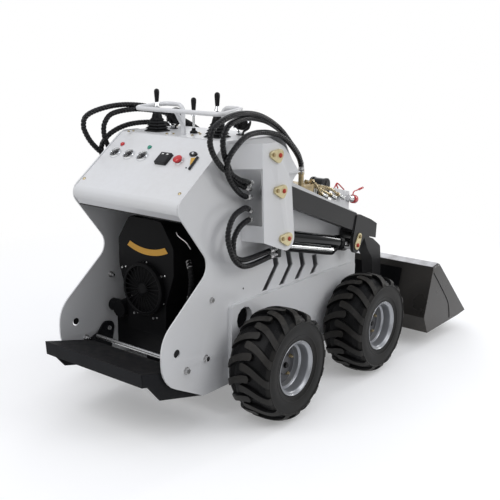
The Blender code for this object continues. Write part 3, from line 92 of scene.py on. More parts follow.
camera.data.sensor_width = 36
camera.location = EYE + DATUM
aim = Vector((cos(EYE_PITCH) * cos(EYE_YAW), cos(EYE_PITCH) * sin(EYE_YAW), -sin(EYE_PITCH)))
camera.rotation_mode = "QUATERNION"
camera.rotation_quaternion = aim.to_track_quat("-Z", "Y") @ Quaternion((0, 0, 1), EYE_ROLL)
scene.collection.objects.link(camera)
scene.camera = camera


def wire(tree, source, target):
    """Join a socket (node, name) to another."""
    tree.links.new(source[0].outputs[source[1]], target[0].inputs[target[1]])


def node(tree, kind, **values):
    """A shader node; values go to its properties, or else to its inputs by name."""
    made = tree.nodes.new("ShaderNode" + kind)
    for name, value in values.items():
        if hasattr(made, name):
            setattr(made, name, value)
        else:
            made.inputs[name.replace("_", " ")].default_value = value
    return made


FLOOR_RADIUS = 14.0
floor_mesh = bpy.data.meshes.new("studio_floor")
bm = bmesh.new()
bmesh.ops.create_circle(bm, cap_ends=True, segments=96, radius=FLOOR_RADIUS)
bm.to_mesh(floor_mesh)
bm.free()
floor = bpy.data.objects.new("studio_floor", floor_mesh)
scene.collection.objects.link(floor)
floor_mat = bpy.data.materials.new("studio_floor")
floor_mat.use_nodes = True
tree = floor_mat.node_tree
tree.nodes.clear()
out = node(tree, "OutputMaterial")
matte = node(tree, "BsdfDiffuse", Color=(0.80, 0.80, 0.80, 1))
bounce = node(tree, "BsdfDiffuse", Color=(0.52, 0.52, 0.52, 1))
lift = node(tree, "Emission", Color=(1, 1, 1, 1), Strength=0.24)
white = node(tree, "Emission", Color=(1, 1, 1, 1), Strength=1.0)
lifted = node(tree, "AddShader")
near_far = node(tree, "MixShader")
seen = node(tree, "MixShader")
rays = node(tree, "LightPath")
place = node(tree, "TexCoord")
reach = node(tree, "VectorMath", operation="LENGTH")
fade = node(tree, "MapRange", From_Min=1.5, From_Max=3.2)
straight = node(tree, "Math", operation="MAXIMUM")
shown = node(tree, "Math", operation="MAXIMUM")
wire(tree, (matte, 0), (lifted, 0))
wire(tree, (lift, 0), (lifted, 1))
wire(tree, (place, "Object"), (reach, 0))
wire(tree, (reach, "Value"), (fade, "Value"))
wire(tree, (fade, "Result"), (near_far, 0))
wire(tree, (lifted, 0), (near_far, 1))
wire(tree, (white, 0), (near_far, 2))
wire(tree, (rays, "Is Camera Ray"), (straight, 0))
wire(tree, (rays, "Is Glossy Ray"), (straight, 1))
wire(tree, (straight, 0), (shown, 0))
wire(tree, (rays, "Is Transmission Ray"), (shown, 1))
wire(tree, (shown, 0), (seen, 0))
wire(tree, (bounce, 0), (seen, 1))
wire(tree, (near_far, 0), (seen, 2))
wire(tree, (seen, 0), (out, "Surface"))
floor_mesh.materials.append(floor_mat)

# Studio light: a pale sky that is brightest overhead, one broad soft box high behind the camera's left,
# weaker ones on the right and in front, and an upright strip that draws a line along the lift cylinder.
world = bpy.data.worlds.new("studio_sky")
scene.world = world
world.use_nodes = True
tree = world.node_tree
tree.nodes.clear()
out = node(tree, "OutputWorld")
sky = node(tree, "Background")
backdrop = node(tree, "Background", Color=(1, 1, 1, 1), Strength=1.0)
seen = node(tree, "MixShader")
rays = node(tree, "LightPath")
place = node(tree, "TexCoord")
split = node(tree, "SeparateXYZ")
ramp = node(tree, "ValToRGB")
ramp.color_ramp.elements[0].position = 0.30
ramp.color_ramp.elements[0].color = (0.15, 0.15, 0.15, 1)
ramp.color_ramp.elements[1].position = 1.0
ramp.color_ramp.elements[1].color = (0.86, 0.88, 0.94, 1)
middle = ramp.color_ramp.elements.new(0.55)
middle.color = (0.36, 0.36, 0.36, 1)
lower = node(tree, "MapRange", From_Min=-1.0, From_Max=1.0)
wire(tree, (place, "Generated"), (split, 0))
wire(tree, (split, "Z"), (lower, "Value"))
wire(tree, (lower, "Result"), (ramp, 0))
wire(tree, (ramp, "Color"), (sky, "Color"))
wire(tree, (rays, "Is Camera Ray"), (seen, 0))
wire(tree, (sky, 0), (seen, 1))
wire(tree, (backdrop, 0), (seen, 2))
wire(tree, (seen, 0), (out, "Surface"))
LIGHT_TARGET = Vector((0, 0, 0.5))
# Columns: name, place, width, height, power.
SOFT_BOXES = (
    ("soft_box_rear", Vector((-3.2, 0.6, 3.4)), 2.4, 2.4, 48.0),
    ("soft_box_right", Vector((0.6, -3.6, 2.6)), 2.0, 2.0, 33.0),
    ("soft_box_front", Vector((3.2, 2.2, 3.0)), 2.4, 2.4, 24.0),
    ("strip_light", Vector((3.4, -1.2, 1.8)), 0.5, 1.2, 20.0),
)
for name, spot, width, height, power in SOFT_BOXES:
    lamp = bpy.data.objects.new(name, bpy.data.lights.new(name, "AREA"))
    lamp.data.shape = "RECTANGLE"
    lamp.data.size = width
    lamp.data.size_y = height
    lamp.data.energy = power
    lamp.location = spot
    lamp.rotation_euler = (LIGHT_TARGET - spot).to_track_quat("-Z", "Y").to_euler()
    scene.collection.objects.link(lamp)


# Hydraulic hoses: five on each side between the bulkhead behind the tower, the valve bank on the hood and
# the lift cylinder. Each is rubber hose in a spiral guard of black plastic, with a crimped steel ferrule at
# its ends.
def socket_group(name, inputs, outputs):
    """An empty shader node group with named inputs (name, kind, value) and outputs (name, kind)."""
    group = bpy.data.node_groups.new(name, "ShaderNodeTree")
    for label, kind, value in inputs:
        made = group.interface.new_socket(name=label, in_out="INPUT", socket_type="NodeSocket" + kind)
        made.default_value = value
    for label, kind in outputs:
        group.interface.new_socket(name=label, in_out="OUTPUT", socket_type="NodeSocket" + kind)
    return group, group.nodes.new("NodeGroupInput"), group.nodes.new("NodeGroupOutput")


def make_skin_group():
    """Slow mottling of a colour, and a fine grain in roughness and height, as paint and rubber have."""
    group, given, result = socket_group(
        "surface_skin",
        (("Colour", "Color", (0.5, 0.5, 0.5, 1)), ("Stain", "Color", (0.4, 0.4, 0.4, 1)),
         ("Stain Amount", "Float", 0.2), ("Stain Scale", "Float", 4.0), ("Roughness", "Float", 0.4),
         ("Roughness Spread", "Float", 0.08), ("Grain Scale", "Float", 300.0),
         ("Grain Height", "Float", 0.0002)),
        (("Colour", "Color"), ("Roughness", "Float"), ("Normal", "Vector")))
    place = node(group, "TexCoord")
    slow = node(group, "TexNoise", Detail=5.0, Roughness=0.6)
    fine = node(group, "TexNoise", Detail=3.0, Roughness=0.55)
    patch = node(group, "MapRange", From_Min=0.42, From_Max=0.72)
    amount = node(group, "Math", operation="MULTIPLY")
    tint = node(group, "Mix", data_type="RGBA")
    centred = node(group, "Math", operation="SUBTRACT")
    centred.inputs[1].default_value = 0.5
    spread = node(group, "Math", operation="MULTIPLY")
    rough = node(group, "Math", operation="ADD")
    bump = node(group, "Bump", Strength=1.0)
    wire(group, (place, "Object"), (slow, "Vector"))
    wire(group, (place, "Object"), (fine, "Vector"))
    wire(group, (given, "Stain Scale"), (slow, "Scale"))
    wire(group, (given, "Grain Scale"), (fine, "Scale"))
    wire(group, (slow, 0), (patch, "Value"))
    wire(group, (patch, "Result"), (amount, 0))
    wire(group, (given, "Stain Amount"), (amount, 1))
    wire(group, (amount, 0), (tint, "Factor"))
    group.links.new(given.outputs["Colour"], tint.inputs[6])
    group.links.new(given.outputs["Stain"], tint.inputs[7])
    group.links.new(tint.outputs[2], result.inputs["Colour"])
    wire(group, (slow, 0), (centred, 0))
    wire(group, (centred, 0), (spread, 0))
    wire(group, (given, "Roughness Spread"), (spread, 1))
    wire(group, (spread, 0), (rough, 0))
    wire(group, (given, "Roughness"), (rough, 1))
    wire(group, (rough, 0), (result, "Roughness"))
    wire(group, (fine, 0), (bump, "Height"))
    wire(group, (given, "Grain Height"), (bump, "Distance"))
    wire(group, (bump, "Normal"), (result, "Normal"))
    return group


def make_dust_group():
    """Dust that settles on what faces up and near the ground, broken up by noise."""
    group, given, result = socket_group(
        "settled_dust",
        (("Colour", "Color", (0.5, 0.5, 0.5, 1)), ("Dust", "Color", (0.42, 0.38, 0.32, 1)),
         ("Amount", "Float", 0.3), ("Low Height", "Float", 0.35)),
        (("Colour", "Color"), ("Mask", "Float")))
    place = node(group, "TexCoord")
    split = node(group, "SeparateXYZ")
    facing = node(group, "SeparateXYZ")
    shape = node(group, "NewGeometry")
    speck = node(group, "TexNoise", Scale=38.0, Detail=6.0, Roughness=0.7)
    low = node(group, "MapRange", From_Min=0.0, To_Min=1.0, To_Max=0.0)
    up = node(group, "MapRange", From_Min=0.2, From_Max=1.0)
    either = node(group, "Math", operation="MAXIMUM")
    cloud = node(group, "MapRange", From_Min=0.40, From_Max=0.68)
    both = node(group, "Math", operation="MULTIPLY")
    amount = node(group, "Math", operation="MULTIPLY")
    tint = node(group, "Mix", data_type="RGBA")
    wire(group, (place, "Object"), (split, 0))
    wire(group, (place, "Object"), (speck, "Vector"))
    wire(group, (shape, "Normal"), (facing, 0))
    wire(group, (split, "Z"), (low, "Value"))
    wire(group, (given, "Low Height"), (low, "From Max"))
    wire(group, (facing, "Z"), (up, "Value"))
    wire(group, (low, "Result"), (either, 0))
    wire(group, (up, "Result"), (either, 1))
    wire(group, (speck, 0), (cloud, "Value"))
    wire(group, (either, 0), (both, 0))
    wire(group, (cloud, "Result"), (both, 1))
    wire(group, (both, 0), (amount, 0))
    wire(group, (given, "Amount"), (amount, 1))
    wire(group, (amount, 0), (tint, "Factor"))
    group.links.new(given.outputs["Colour"], tint.inputs[6])
    group.links.new(given.outputs["Dust"], tint.inputs[7])
    group.links.new(tint.outputs[2], result.inputs["Colour"])
    wire(group, (amount, 0), (result, "Mask"))
    return group


def make_edge_group():
    """Mask of the outer edges, where a coat wears first: the rounded normal leaves the face's own there."""
    group, given, result = socket_group(
        "edge_wear",
        (("Radius", "Float", 0.004), ("Breakup Scale", "Float", 90.0), ("Amount", "Float", 1.0)),
        (("Mask", "Float"),))
    rounded = node(group, "Bevel", samples=6)
    shape = node(group, "NewGeometry")
    same = node(group, "VectorMath", operation="DOT_PRODUCT")
    turned_away = node(group, "MapRange", From_Min=0.985, From_Max=0.86)
    place = node(group, "TexCoord")
    chips = node(group, "TexNoise", Detail=6.0, Roughness=0.75)
    broken = node(group, "MapRange", From_Min=0.42, From_Max=0.60)
    both = node(group, "Math", operation="MULTIPLY")
    amount = node(group, "Math", operation="MULTIPLY")
    wire(group, (given, "Radius"), (rounded, "Radius"))
    wire(group, (rounded, "Normal"), (same, 0))
    wire(group, (shape, "Normal"), (same, 1))
    wire(group, (same, "Value"), (turned_away, "Value"))
    wire(group, (place, "Object"), (chips, "Vector"))
    wire(group, (given, "Breakup Scale"), (chips, "Scale"))
    wire(group, (chips, 0), (broken, "Value"))
    wire(group, (turned_away, "Result"), (both, 0))
    wire(group, (broken, "Result"), (both, 1))
    wire(group, (both, 0), (amount, 0))
    wire(group, (given, "Amount"), (amount, 1))
    wire(group, (amount, 0), (result, "Mask"))
    return group


SKIN = make_skin_group()
DUST = make_dust_group()
EDGE = make_edge_group()


def finish_material(name, slot, colour, roughness, metallic=0.0, stain=None, stain_amount=0.25,
                    stain_scale=4.0, spread=0.08, grain=300.0, height=0.0001, dust=0.0, low=0.35, wear=0.0,
                    wear_colour=None, wear_radius=0.004, coat=0.0, specular=0.5):
    """Principled material: skin, then dust below the height low, then worn edges."""
    mat = bpy.data.materials.new(name)
    mat.use_nodes = True
    if slot:
        mat["slot"] = slot
    tree = mat.node_tree
    surface = tree.nodes["Principled BSDF"]
    surface.inputs["Metallic"].default_value = metallic
    surface.inputs["Coat Weight"].default_value = coat
    surface.inputs["Specular IOR Level"].default_value = specular
    skin = node(tree, "Group", node_tree=SKIN)
    skin.inputs["Colour"].default_value = (*colour, 1)
    skin.inputs["Stain"].default_value = (*(stain or [c * 0.8 for c in colour]), 1)
    skin.inputs["Stain Amount"].default_value = stain_amount
    skin.inputs["Stain Scale"].default_value = stain_scale
    skin.inputs["Roughness"].default_value = roughness
    skin.inputs["Roughness Spread"].default_value = spread
    skin.inputs["Grain Scale"].default_value = grain
    skin.inputs["Grain Height"].default_value = height
    wire(tree, (skin, "Roughness"), (surface, "Roughness"))
    wire(tree, (skin, "Normal"), (surface, "Normal"))
    last = (skin, "Colour")
    if dust > 0:
        settled = node(tree, "Group", node_tree=DUST)
        settled.inputs["Amount"].default_value = dust
        settled.inputs["Low Height"].default_value = low
        wire(tree, last, (settled, "Colour"))
        last = (settled, "Colour")
    if wear > 0:
        edge = node(tree, "Group", node_tree=EDGE)
        edge.inputs["Amount"].default_value = wear
        edge.inputs["Radius"].default_value = wear_radius
        worn = node(tree, "Mix", data_type="RGBA")
        worn.inputs[7].default_value = (*wear_colour, 1)
        wire(tree, (edge, "Mask"), (worn, "Factor"))
        tree.links.new(last[0].outputs[last[1]], worn.inputs[6])
        tree.links.new(worn.outputs[2], surface.inputs["Base Color"])
    else:
        wire(tree, last, (surface, "Base Color"))
    return mat


def piece(name, bm, mat, body, smooth=35, bevel=0.0, segments=2):
    """One shown piece: its mesh is built in machine coordinates and rides on a body of the frame."""
    bmesh.ops.translate(bm, verts=bm.verts, vec=DATUM)
    bmesh.ops.recalc_face_normals(bm, faces=bm.faces)
    mesh = bpy.data.meshes.new(name)
    bm.to_mesh(mesh)
    bm.free()
    mesh.materials.append(mat)
    mesh.shade_smooth()
    mesh.set_sharp_from_angle(angle=radians(smooth))
    obj = bpy.data.objects.new(name, mesh)
    scene.collection.objects.link(obj)
    if bevel > 0:
        soften(obj, bevel, segments)
    if body:
        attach(obj, body)
    return obj


def soften(obj, width, segments=2):
    """Round the sharp edges of a piece by a small width."""
    edge = obj.modifiers.new("rounded_edges", "BEVEL")
    edge.width = width
    edge.segments = segments
    edge.limit_method = "ANGLE"
    edge.angle_limit = radians(35)
    edge.harden_normals = True


def add_mesh(bm, verts, faces):
    """Add points and faces to a mesh being built."""
    made = [bm.verts.new(v) for v in verts]
    for face in faces:
        bm.faces.new([made[i] for i in face])
    return made


def add_lathe(bm, profile, place, steps=48):
    """Turned shape: a profile of (radius, height) from its top, down the outside; zero radii close it."""
    rings = []
    verts = []
    for radius, height in profile:
        if radius <= 0:
            rings.append([len(verts)])
            verts.append(place @ Vector((0, 0, height)))
        else:
            rings.append(list(range(len(verts), len(verts) + steps)))
            for i in range(steps):
                turn = 2 * pi * i / steps
                verts.append(place @ Vector((radius * cos(turn), radius * sin(turn), height)))
    faces = []
    pairs = list(zip(rings, rings[1:]))
    if profile[0][0] > 0:
        pairs.append((rings[-1], rings[0]))
    for upper, lower in pairs:
        for i in range(steps):
            j = (i + 1) % steps
            near = [upper[i % len(upper)], lower[i % len(lower)]]
            far = [lower[j % len(lower)], upper[j % len(upper)]]
            faces.append(list(dict.fromkeys(near + far)))
    add_mesh(bm, verts, [f for f in faces if len(f) > 2])


def along(start, end):
    """Placement whose Z runs from start to end."""
    start = Vector(start)
    way = Vector(end) - start
    return Matrix.Translation(start) @ way.to_track_quat("Z", "Y").to_matrix().to_4x4()


def add_rod(bm, start, end, radius, steps=32, chamfer=0.0, end_radius=None):
    """Round bar between two points, with chamfered ends."""
    length = (Vector(end) - Vector(start)).length
    top = radius if end_radius is None else end_radius
    profile = [(0, length), (top - chamfer, length), (top, length - chamfer), (radius, chamfer),
               (radius - chamfer, 0), (0, 0)]
    if chamfer == 0:
        profile = [(0, length), (top, length), (radius, 0), (0, 0)]
    add_lathe(bm, profile, along(start, end), steps)


def add_hex(bm, start, way, width, height):
    """Hexagon bolt head on its washer, standing on a face."""
    way = Vector(way).normalized()
    place = along(start, Vector(start) + way)
    thick = width * 0.12
    washer = [(0, thick), (width * 0.98, thick), (width, thick / 2), (width, 0), (0, 0)]
    add_lathe(bm, washer, place, 24)
    radius = width * 0.86
    head = [(0, height), (radius * 0.86, height), (radius, height * 0.84), (radius, 0), (0, 0)]
    add_lathe(bm, head, place @ Matrix.Translation((0, 0, thick)), 6)


def route_points(points, spacing):
    """Even points along a smooth curve through a route's own points."""
    p = [Vector(v) for v in points]
    p = [2 * p[0] - p[1]] + p + [2 * p[-1] - p[-2]]
    dense = []
    for i in range(1, len(p) - 2):
        a, b, c, d = p[i - 1:i + 3]
        for k in range(24):
            t = k / 24
            dense.append(0.5 * (2 * b + (c - a) * t + (2 * a - 5 * b + 4 * c - d) * t * t
                                + (3 * b - a - 3 * c + d) * t ** 3))
    dense.append(p[-2])
    lengths = [0.0]
    for a, b in zip(dense, dense[1:]):
        lengths.append(lengths[-1] + (b - a).length)
    count = max(2, int(round(lengths[-1] / spacing)))
    even = []
    j = 0
    for i in range(count + 1):
        goal = lengths[-1] * i / count
        while j < len(lengths) - 2 and lengths[j + 1] < goal:
            j += 1
        even.append(dense[j].lerp(dense[j + 1], (goal - lengths[j]) / (lengths[j + 1] - lengths[j])))
    return even


def add_tube(bm, points, radius, sides=12, skin=None):
    """Tube along points; skin(length along, turn) gives what the radius gains there."""
    way = (points[1] - points[0]).normalized()
    side = way.orthogonal().normalized()
    verts = []
    run = 0.0
    for i, p in enumerate(points):
        ahead = points[min(i + 1, len(points) - 1)] - points[max(i - 1, 0)]
        ahead.normalize()
        side = (side - ahead * side.dot(ahead)).normalized()
        up = ahead.cross(side)
        if i:
            run += (p - points[i - 1]).length
        for k in range(sides):
            turn = 2 * pi * k / sides
            r = radius + (skin(run, turn) if skin else 0)
            verts.append(p + (side * cos(turn) + up * sin(turn)) * r)
    faces = [list(range(sides - 1, -1, -1)), list(range(len(verts) - sides, len(verts)))]
    for i in range(len(points) - 1):
        for k in range(sides):
            j = (k + 1) % sides
            a = i * sides
            faces.append([a + k, a + j, a + sides + j, a + sides + k])
    add_mesh(bm, verts, faces)


HOSE_RADIUS = 0.0098
GUARD_PITCH = 0.015
GUARD_GROOVE = 0.0038
HOSE_SPACING = 0.0026
# Points of a route: along, outward from the side plate's outer face, up. The first three go over to the valve
# bank, the last two to the lift cylinder.
HOSE_ROUTES = (
    ((0.055, 0.013, 0.950), (0.015, 0.026, 0.956), (-0.033, 0.047, 0.968), (-0.075, 0.043, 0.982),
     (-0.115, 0.039, 1.006), (-0.171, 0.042, 1.037), (-0.218, 0.046, 1.080), (-0.244, 0.049, 1.120),
     (-0.251, 0.053, 1.149), (-0.238, 0.056, 1.184), (-0.189, 0.051, 1.208), (-0.100, 0.038, 1.225),
     (-0.007, 0.024, 1.226), (0.090, 0.011, 1.212), (0.192, -0.003, 1.178), (0.282, -0.016, 1.133),
     (0.376, -0.030, 1.065), (0.440, -0.040, 1.008), (0.466, -0.043, 0.968), (0.466, -0.043, 0.9403)),
    ((0.055, 0.013, 0.922), (0.010, 0.018, 0.934), (-0.050, 0.022, 0.960), (-0.092, 0.028, 0.990),
     (-0.122, 0.031, 1.034), (-0.150, 0.034, 1.082), (-0.159, 0.035, 1.126), (-0.149, 0.035, 1.162),
     (-0.113, 0.032, 1.193), (-0.032, 0.019, 1.206), (0.051, 0.003, 1.204), (0.172, -0.014, 1.181),
     (0.282, -0.030, 1.138), (0.380, -0.046, 1.079), (0.460, -0.060, 1.022), (0.495, -0.063, 0.972),
     (0.495, -0.063, 0.9403)),
    ((0.055, 0.013, 0.894), (0.005, 0.026, 0.900), (-0.046, 0.034, 0.919), (-0.095, 0.044, 0.950),
     (-0.136, 0.050, 0.990), (-0.157, 0.054, 1.031), (-0.148, 0.056, 1.072), (-0.099, 0.053, 1.112),
     (-0.025, 0.038, 1.140), (0.067, 0.022, 1.147), (0.164, 0.015, 1.138), (0.248, 0.0145, 1.113),
     (0.327, 0.006, 1.066), (0.399, -0.010, 1.012), (0.436, -0.022, 0.968), (0.436, -0.022, 0.9403)),
    ((0.055, 0.013, 0.826), (0.025, 0.022, 0.843), (-0.010, 0.038, 0.858), (-0.051, 0.052, 0.867),
     (-0.110, 0.056, 0.851), (-0.144, 0.059, 0.817), (-0.159, 0.062, 0.771), (-0.147, 0.064, 0.720),
     (-0.116, 0.062, 0.673), (-0.072, 0.058, 0.643), (-0.020, 0.055, 0.632), (0.050, 0.052, 0.634),
     (0.110, 0.048, 0.638), (0.160, 0.045, 0.640)),
    ((0.055, 0.013, 0.798), (0.025, 0.025, 0.808), (-0.018, 0.042, 0.812), (-0.069, 0.046, 0.795),
     (-0.103, 0.048, 0.761), (-0.114, 0.051, 0.723), (-0.102, 0.049, 0.684), (-0.059, 0.048, 0.662),
     (0.001, 0.047, 0.658), (0.071, 0.046, 0.661), (0.120, 0.046, 0.664), (0.160, 0.045, 0.665)),
)
HOSE_NAMES = ("pressure", "return", "pilot", "lift_outer", "lift_inner")
FERRULE_RADIUS = 0.0118
FERRULE_LENGTH = 0.038
HOSE_SETBACK = 0.030
BODY_HALF = 0.290
CRIMP_COUNT = 5
ELBOW_AHEAD = 0.016
ELBOW_OUT = 0.012
ELBOW_DROP = 0.004
ELBOW_RADIUS = 0.0062
ELBOW_NUT_WIDTH = 0.0120
ELBOW_NUT_HEIGHT = 0.010
PORT_REAR = 0.158
PORT_FRONT = 0.176
PORT_OUT = 0.045
PORT_HEIGHTS = (0.640, 0.665)
PORT_RADIUS = 0.0085
hose_mat = finish_material("hose_guard", "hose_rubber", (0.004, 0.004, 0.005), 0.20, spread=0.06,
                           grain=500.0, specular=0.28)
steel_mat = finish_material("zinc_steel", "bright_steel", (0.58, 0.58, 0.58), 0.28, 1.0,
                            stain=(0.34, 0.33, 0.31), stain_amount=0.5, stain_scale=60.0, spread=0.25,
                            grain=900.0, height=0.00006)


def guard(run, turn):
    """Spiral guard: a groove that winds round the hose."""
    phase = (run / GUARD_PITCH - turn / (2 * pi)) % 1.0
    dip = max(0.0, 1 - abs(phase - 0.5) / 0.16)
    return -GUARD_GROOVE * dip * dip * (3 - 2 * dip) + GUARD_GROOVE * 0.35


def add_ferrule(bm, tip, back):
    """Crimped ferrule and swivel nut at a hose's end; back points along the hose."""
    place = along(tip, tip + back)
    r = FERRULE_RADIUS
    rows = [(0, FERRULE_LENGTH)]
    for i in range(CRIMP_COUNT):
        low = FERRULE_LENGTH * (1 - i / 9)
        rows += [(r * 1.04, low - 0.0008), (r * 0.94, low - 0.0022), (r * 1.04, low - 0.0036)]
    rows += [(r * 0.7, FERRULE_LENGTH * 0.36), (r * 0.7, FERRULE_LENGTH * 0.3), (0, FERRULE_LENGTH * 0.3)]
    add_lathe(bm, rows, place, 24)
    nut = [(0, 0.014), (r * 0.95, 0.014), (r * 1.12, 0.0125), (r * 1.12, 0.0015), (r * 0.95, 0), (0, 0)]
    add_lathe(bm, nut, place, 6)


for side, sign in SIDES:
    fittings = bmesh.new()
    ends = bmesh.new()
    for name, route in zip(HOSE_NAMES, HOSE_ROUTES):
        points = [(x, sign * (BODY_HALF + outward), z) for x, outward, z in route]
        points = route_points(points[:-1], HOSE_SPACING)[:-1] + route_points(points[-2:], HOSE_SPACING)
        points = points[int(HOSE_SETBACK / HOSE_SPACING):]
        bm = bmesh.new()
        add_tube(bm, points, HOSE_RADIUS, 18, guard)
        lower = name.startswith("lift")
        hose = piece("hose_%s_%s" % (name, side), bm, hose_mat, None if lower else "chassis", 60)
        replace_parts(hose, "hoses_" + side)
        add_ferrule(fittings, points[0], (points[12] - points[0]).normalized())
        add_ferrule(ends if lower else fittings, points[-1], (points[-13] - points[-1]).normalized())
        elbow = points[0] + Vector((ELBOW_AHEAD, 0, -ELBOW_DROP))
        elbow.y = sign * (BODY_HALF + ELBOW_OUT)
        wall = Vector((elbow.x, sign * BODY_HALF, elbow.z))
        bend = route_points([points[0], points[0].lerp(elbow, 0.6), elbow, wall], 0.004)
        add_tube(fittings, bend, ELBOW_RADIUS, 16)
        nut = Vector((elbow.x, sign * (BODY_HALF - 0.001), elbow.z))
        add_hex(fittings, nut, (0, sign, 0), ELBOW_NUT_WIDTH, ELBOW_NUT_HEIGHT)
        if lower:
            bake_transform(hose)
    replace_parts(piece("hose_fittings_" + side, fittings, steel_mat, "chassis", 35), "hoses_" + side)
    y = sign * (BODY_HALF + PORT_OUT)
    for z in PORT_HEIGHTS:
        add_rod(ends, (PORT_REAR, y, z), (PORT_FRONT, y, z), PORT_RADIUS, 24, 0.001)
    piece("cylinder_fittings_" + side, ends, steel_mat, "lift_barrel_" + side, 35)


# White sheet steel of the body: laser-cut side plates, the belly pan bent up at the front, the hood, the deck
# and the chain cases, all powder-coated white, with softened edges and a little road dust low down.
def dressed(cad_node, mat, edge=0.0012, segments=2, smooth=30):
    """A CAD solid with its facets joined and its edges rounded; it stands for the node."""
    source = frame["nodes"][cad_node]
    bm = bmesh.new()
    bm.from_mesh(source.data)
    bmesh.ops.remove_doubles(bm, verts=bm.verts, dist=0.00002)
    bmesh.ops.dissolve_limit(bm, angle_limit=radians(0.3), verts=bm.verts, edges=bm.edges)
    bmesh.ops.translate(bm, verts=bm.verts, vec=-DATUM)
    obj = piece(cad_node + "_finished", bm, mat, source["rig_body"], smooth, edge, segments)
    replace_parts(obj, cad_node)
    return obj


CASE_EDGE = 0.0080
white_mat = finish_material("white_powder_coat", "white_paint", (0.735, 0.74, 0.75), 0.30,
                            stain=(0.64, 0.63, 0.60), stain_amount=0.30, stain_scale=2.2, spread=0.10,
                            grain=420.0, height=0.00005, dust=0.10, low=0.30, coat=0.15)
for name in ("side_plate_right", "side_plate_left", "belly_pan", "hood", "deck", "console"):
    dressed(name, white_mat)
for name in ("chain_case_right", "chain_case_left"):
    dressed(name, white_mat, CASE_EDGE, 4)

# Bolts of the rear lobes: the platform's pivot, its stop and the upper stay. They are bright zinc plated, and
# their heads and nuts stand on washers on both faces of each side plate.
PLATE = 0.006
LOBE_BOLT_END = 0.022
# Columns: along, up, width across the head, height.
LOBE_BOLTS = ((-0.182, 0.517, 0.0125, 0.007), (-0.216, 0.287, 0.0150, 0.011), (-0.329, 0.270, 0.0150, 0.011))
for side, sign in SIDES:
    bm = bmesh.new()
    for x, z, width, height in LOBE_BOLTS:
        add_hex(bm, (x, sign * BODY_HALF, z), (0, sign, 0), width, height)
        inner = Vector((x, sign * (BODY_HALF - PLATE), z))
        add_hex(bm, inner, (0, -sign, 0), width, height)
        add_rod(bm, inner, inner - Vector((0, sign * LOBE_BOLT_END, 0)), width * 0.5, 16, 0.001)
    piece("lobe_bolts_" + side, bm, steel_mat, "chassis", 30)

# Arms, cross tube and cylinders: welded box sections in a dark grey semi-gloss coat, barrels in a glossy
# one and bright steel rods. The towers that carry them are welded plates, white like the body.
grey_mat = finish_material("dark_grey_coat", "dark_grey_paint", (0.014, 0.014, 0.0145), 0.42, spread=0.12,
                           grain=380.0, height=0.00006, dust=0.06, low=0.2, wear=0.4,
                           wear_colour=(0.11, 0.11, 0.115), wear_radius=0.003, specular=0.35)
for name in ("arm_right", "arm_left", "arm_cross_tube"):
    dressed(name, grey_mat, 0.002, 2)
barrel_mat = finish_material("cylinder_gloss_coat", "dark_grey_paint", (0.006, 0.007, 0.007), 0.14,
                             spread=0.04, grain=300.0, height=0.00003, specular=0.35)
for name in ("lift_barrel_right", "lift_barrel_left", "tilt_barrel"):
    dressed(name, barrel_mat, 0.001, 2, 40)
for name in ("lift_rod_right", "lift_rod_left", "tilt_rod"):
    dressed(name, steel_mat, 0.0008, 2, 40)
for name in ("tower_right", "tower_left"):
    dressed(name, white_mat, 0.0015, 2)

# Bucket: bent and welded steel sheet in a thin brownish black coat. Gravel has scoured the coat's gloss into
# patches and worn it to bare steel along the edges.
bucket_mat = finish_material("worn_bucket_coat", "bucket_paint", (0.046, 0.043, 0.040), 0.30, 0.45,
                             stain=(0.066, 0.060, 0.054), stain_amount=0.5, stain_scale=5.0, spread=0.2,
                             grain=260.0, height=0.00012, dust=0.05, low=0.25, wear=0.9,
                             wear_colour=(0.42, 0.41, 0.40), wear_radius=0.004, specular=0.35)
dressed("bucket", bucket_mat, 0.0015, 2)

# Black steel: the quick attach plate, the engine with its fan cover and the housings of the axles. All of
# it has the same dull black coat.
black_mat = finish_material("black_coat", "black_paint", (0.0035, 0.0035, 0.004), 0.50, spread=0.15,
                            grain=300.0, height=0.0001, specular=0.10)
for name in ("quick_attach", "engine", "fan_cover", "axle_housing_front_right", "axle_housing_front_left",
             "axle_housing_rear_right", "axle_housing_rear_left"):
    dressed(name, black_mat, 0.001)

# Platform: a folded steel tread with a rough grit coat that boots grip on, worn a little along its edges.
# It folds up on a bright steel rod that runs between the side plates.
grit_mat = finish_material("grit_coat", "black_paint", (0.0065, 0.007, 0.0088), 0.62, spread=0.2,
                           grain=900.0, height=0.0006, dust=0.05, low=0.3, wear=0.25,
                           wear_colour=(0.05, 0.05, 0.05), specular=0.16)
dressed("platform", grit_mat, 0.0018)
dressed("platform_rod", steel_mat, 0.0008, 2, 40)

# Valve bank and coupler bracket on the hood: the valve's cast block is yellow zinc plated and dull in
# patches, and the bracket is bent sheet, white like the hood.
valve_mat = finish_material("yellow_zinc_plate", "yellow_zinc", (0.46, 0.36, 0.20), 0.34, 0.9,
                            stain=(0.20, 0.17, 0.11), stain_amount=0.7, stain_scale=50.0, spread=0.25,
                            grain=600.0, height=0.00008)
dressed("valve_bank", valve_mat, 0.001)
dressed("coupler_bracket", white_mat, 0.001)

# Console: three gauges in bright bezels, two lamps, an hour meter, the stop button and the key, on the
# sloped panel. Places are given up the slope from the panel's nose and across it.
PANEL_NOSE = Vector((-0.3815, 0, 0.9040))
PANEL_UP = Vector((0.7993, 0, 0.6009))
PANEL_OUT = Vector((-0.6009, 0, 0.7993))
PANEL_TURN = Matrix((PANEL_UP, PANEL_OUT.cross(PANEL_UP), PANEL_OUT)).transposed().to_4x4()


def on_panel(up, across):
    """Placement on the panel: X runs up the slope, Y to the left, Z out of it."""
    return Matrix.Translation(PANEL_NOSE + PANEL_UP * up + Vector((0, across, 0))) @ PANEL_TURN


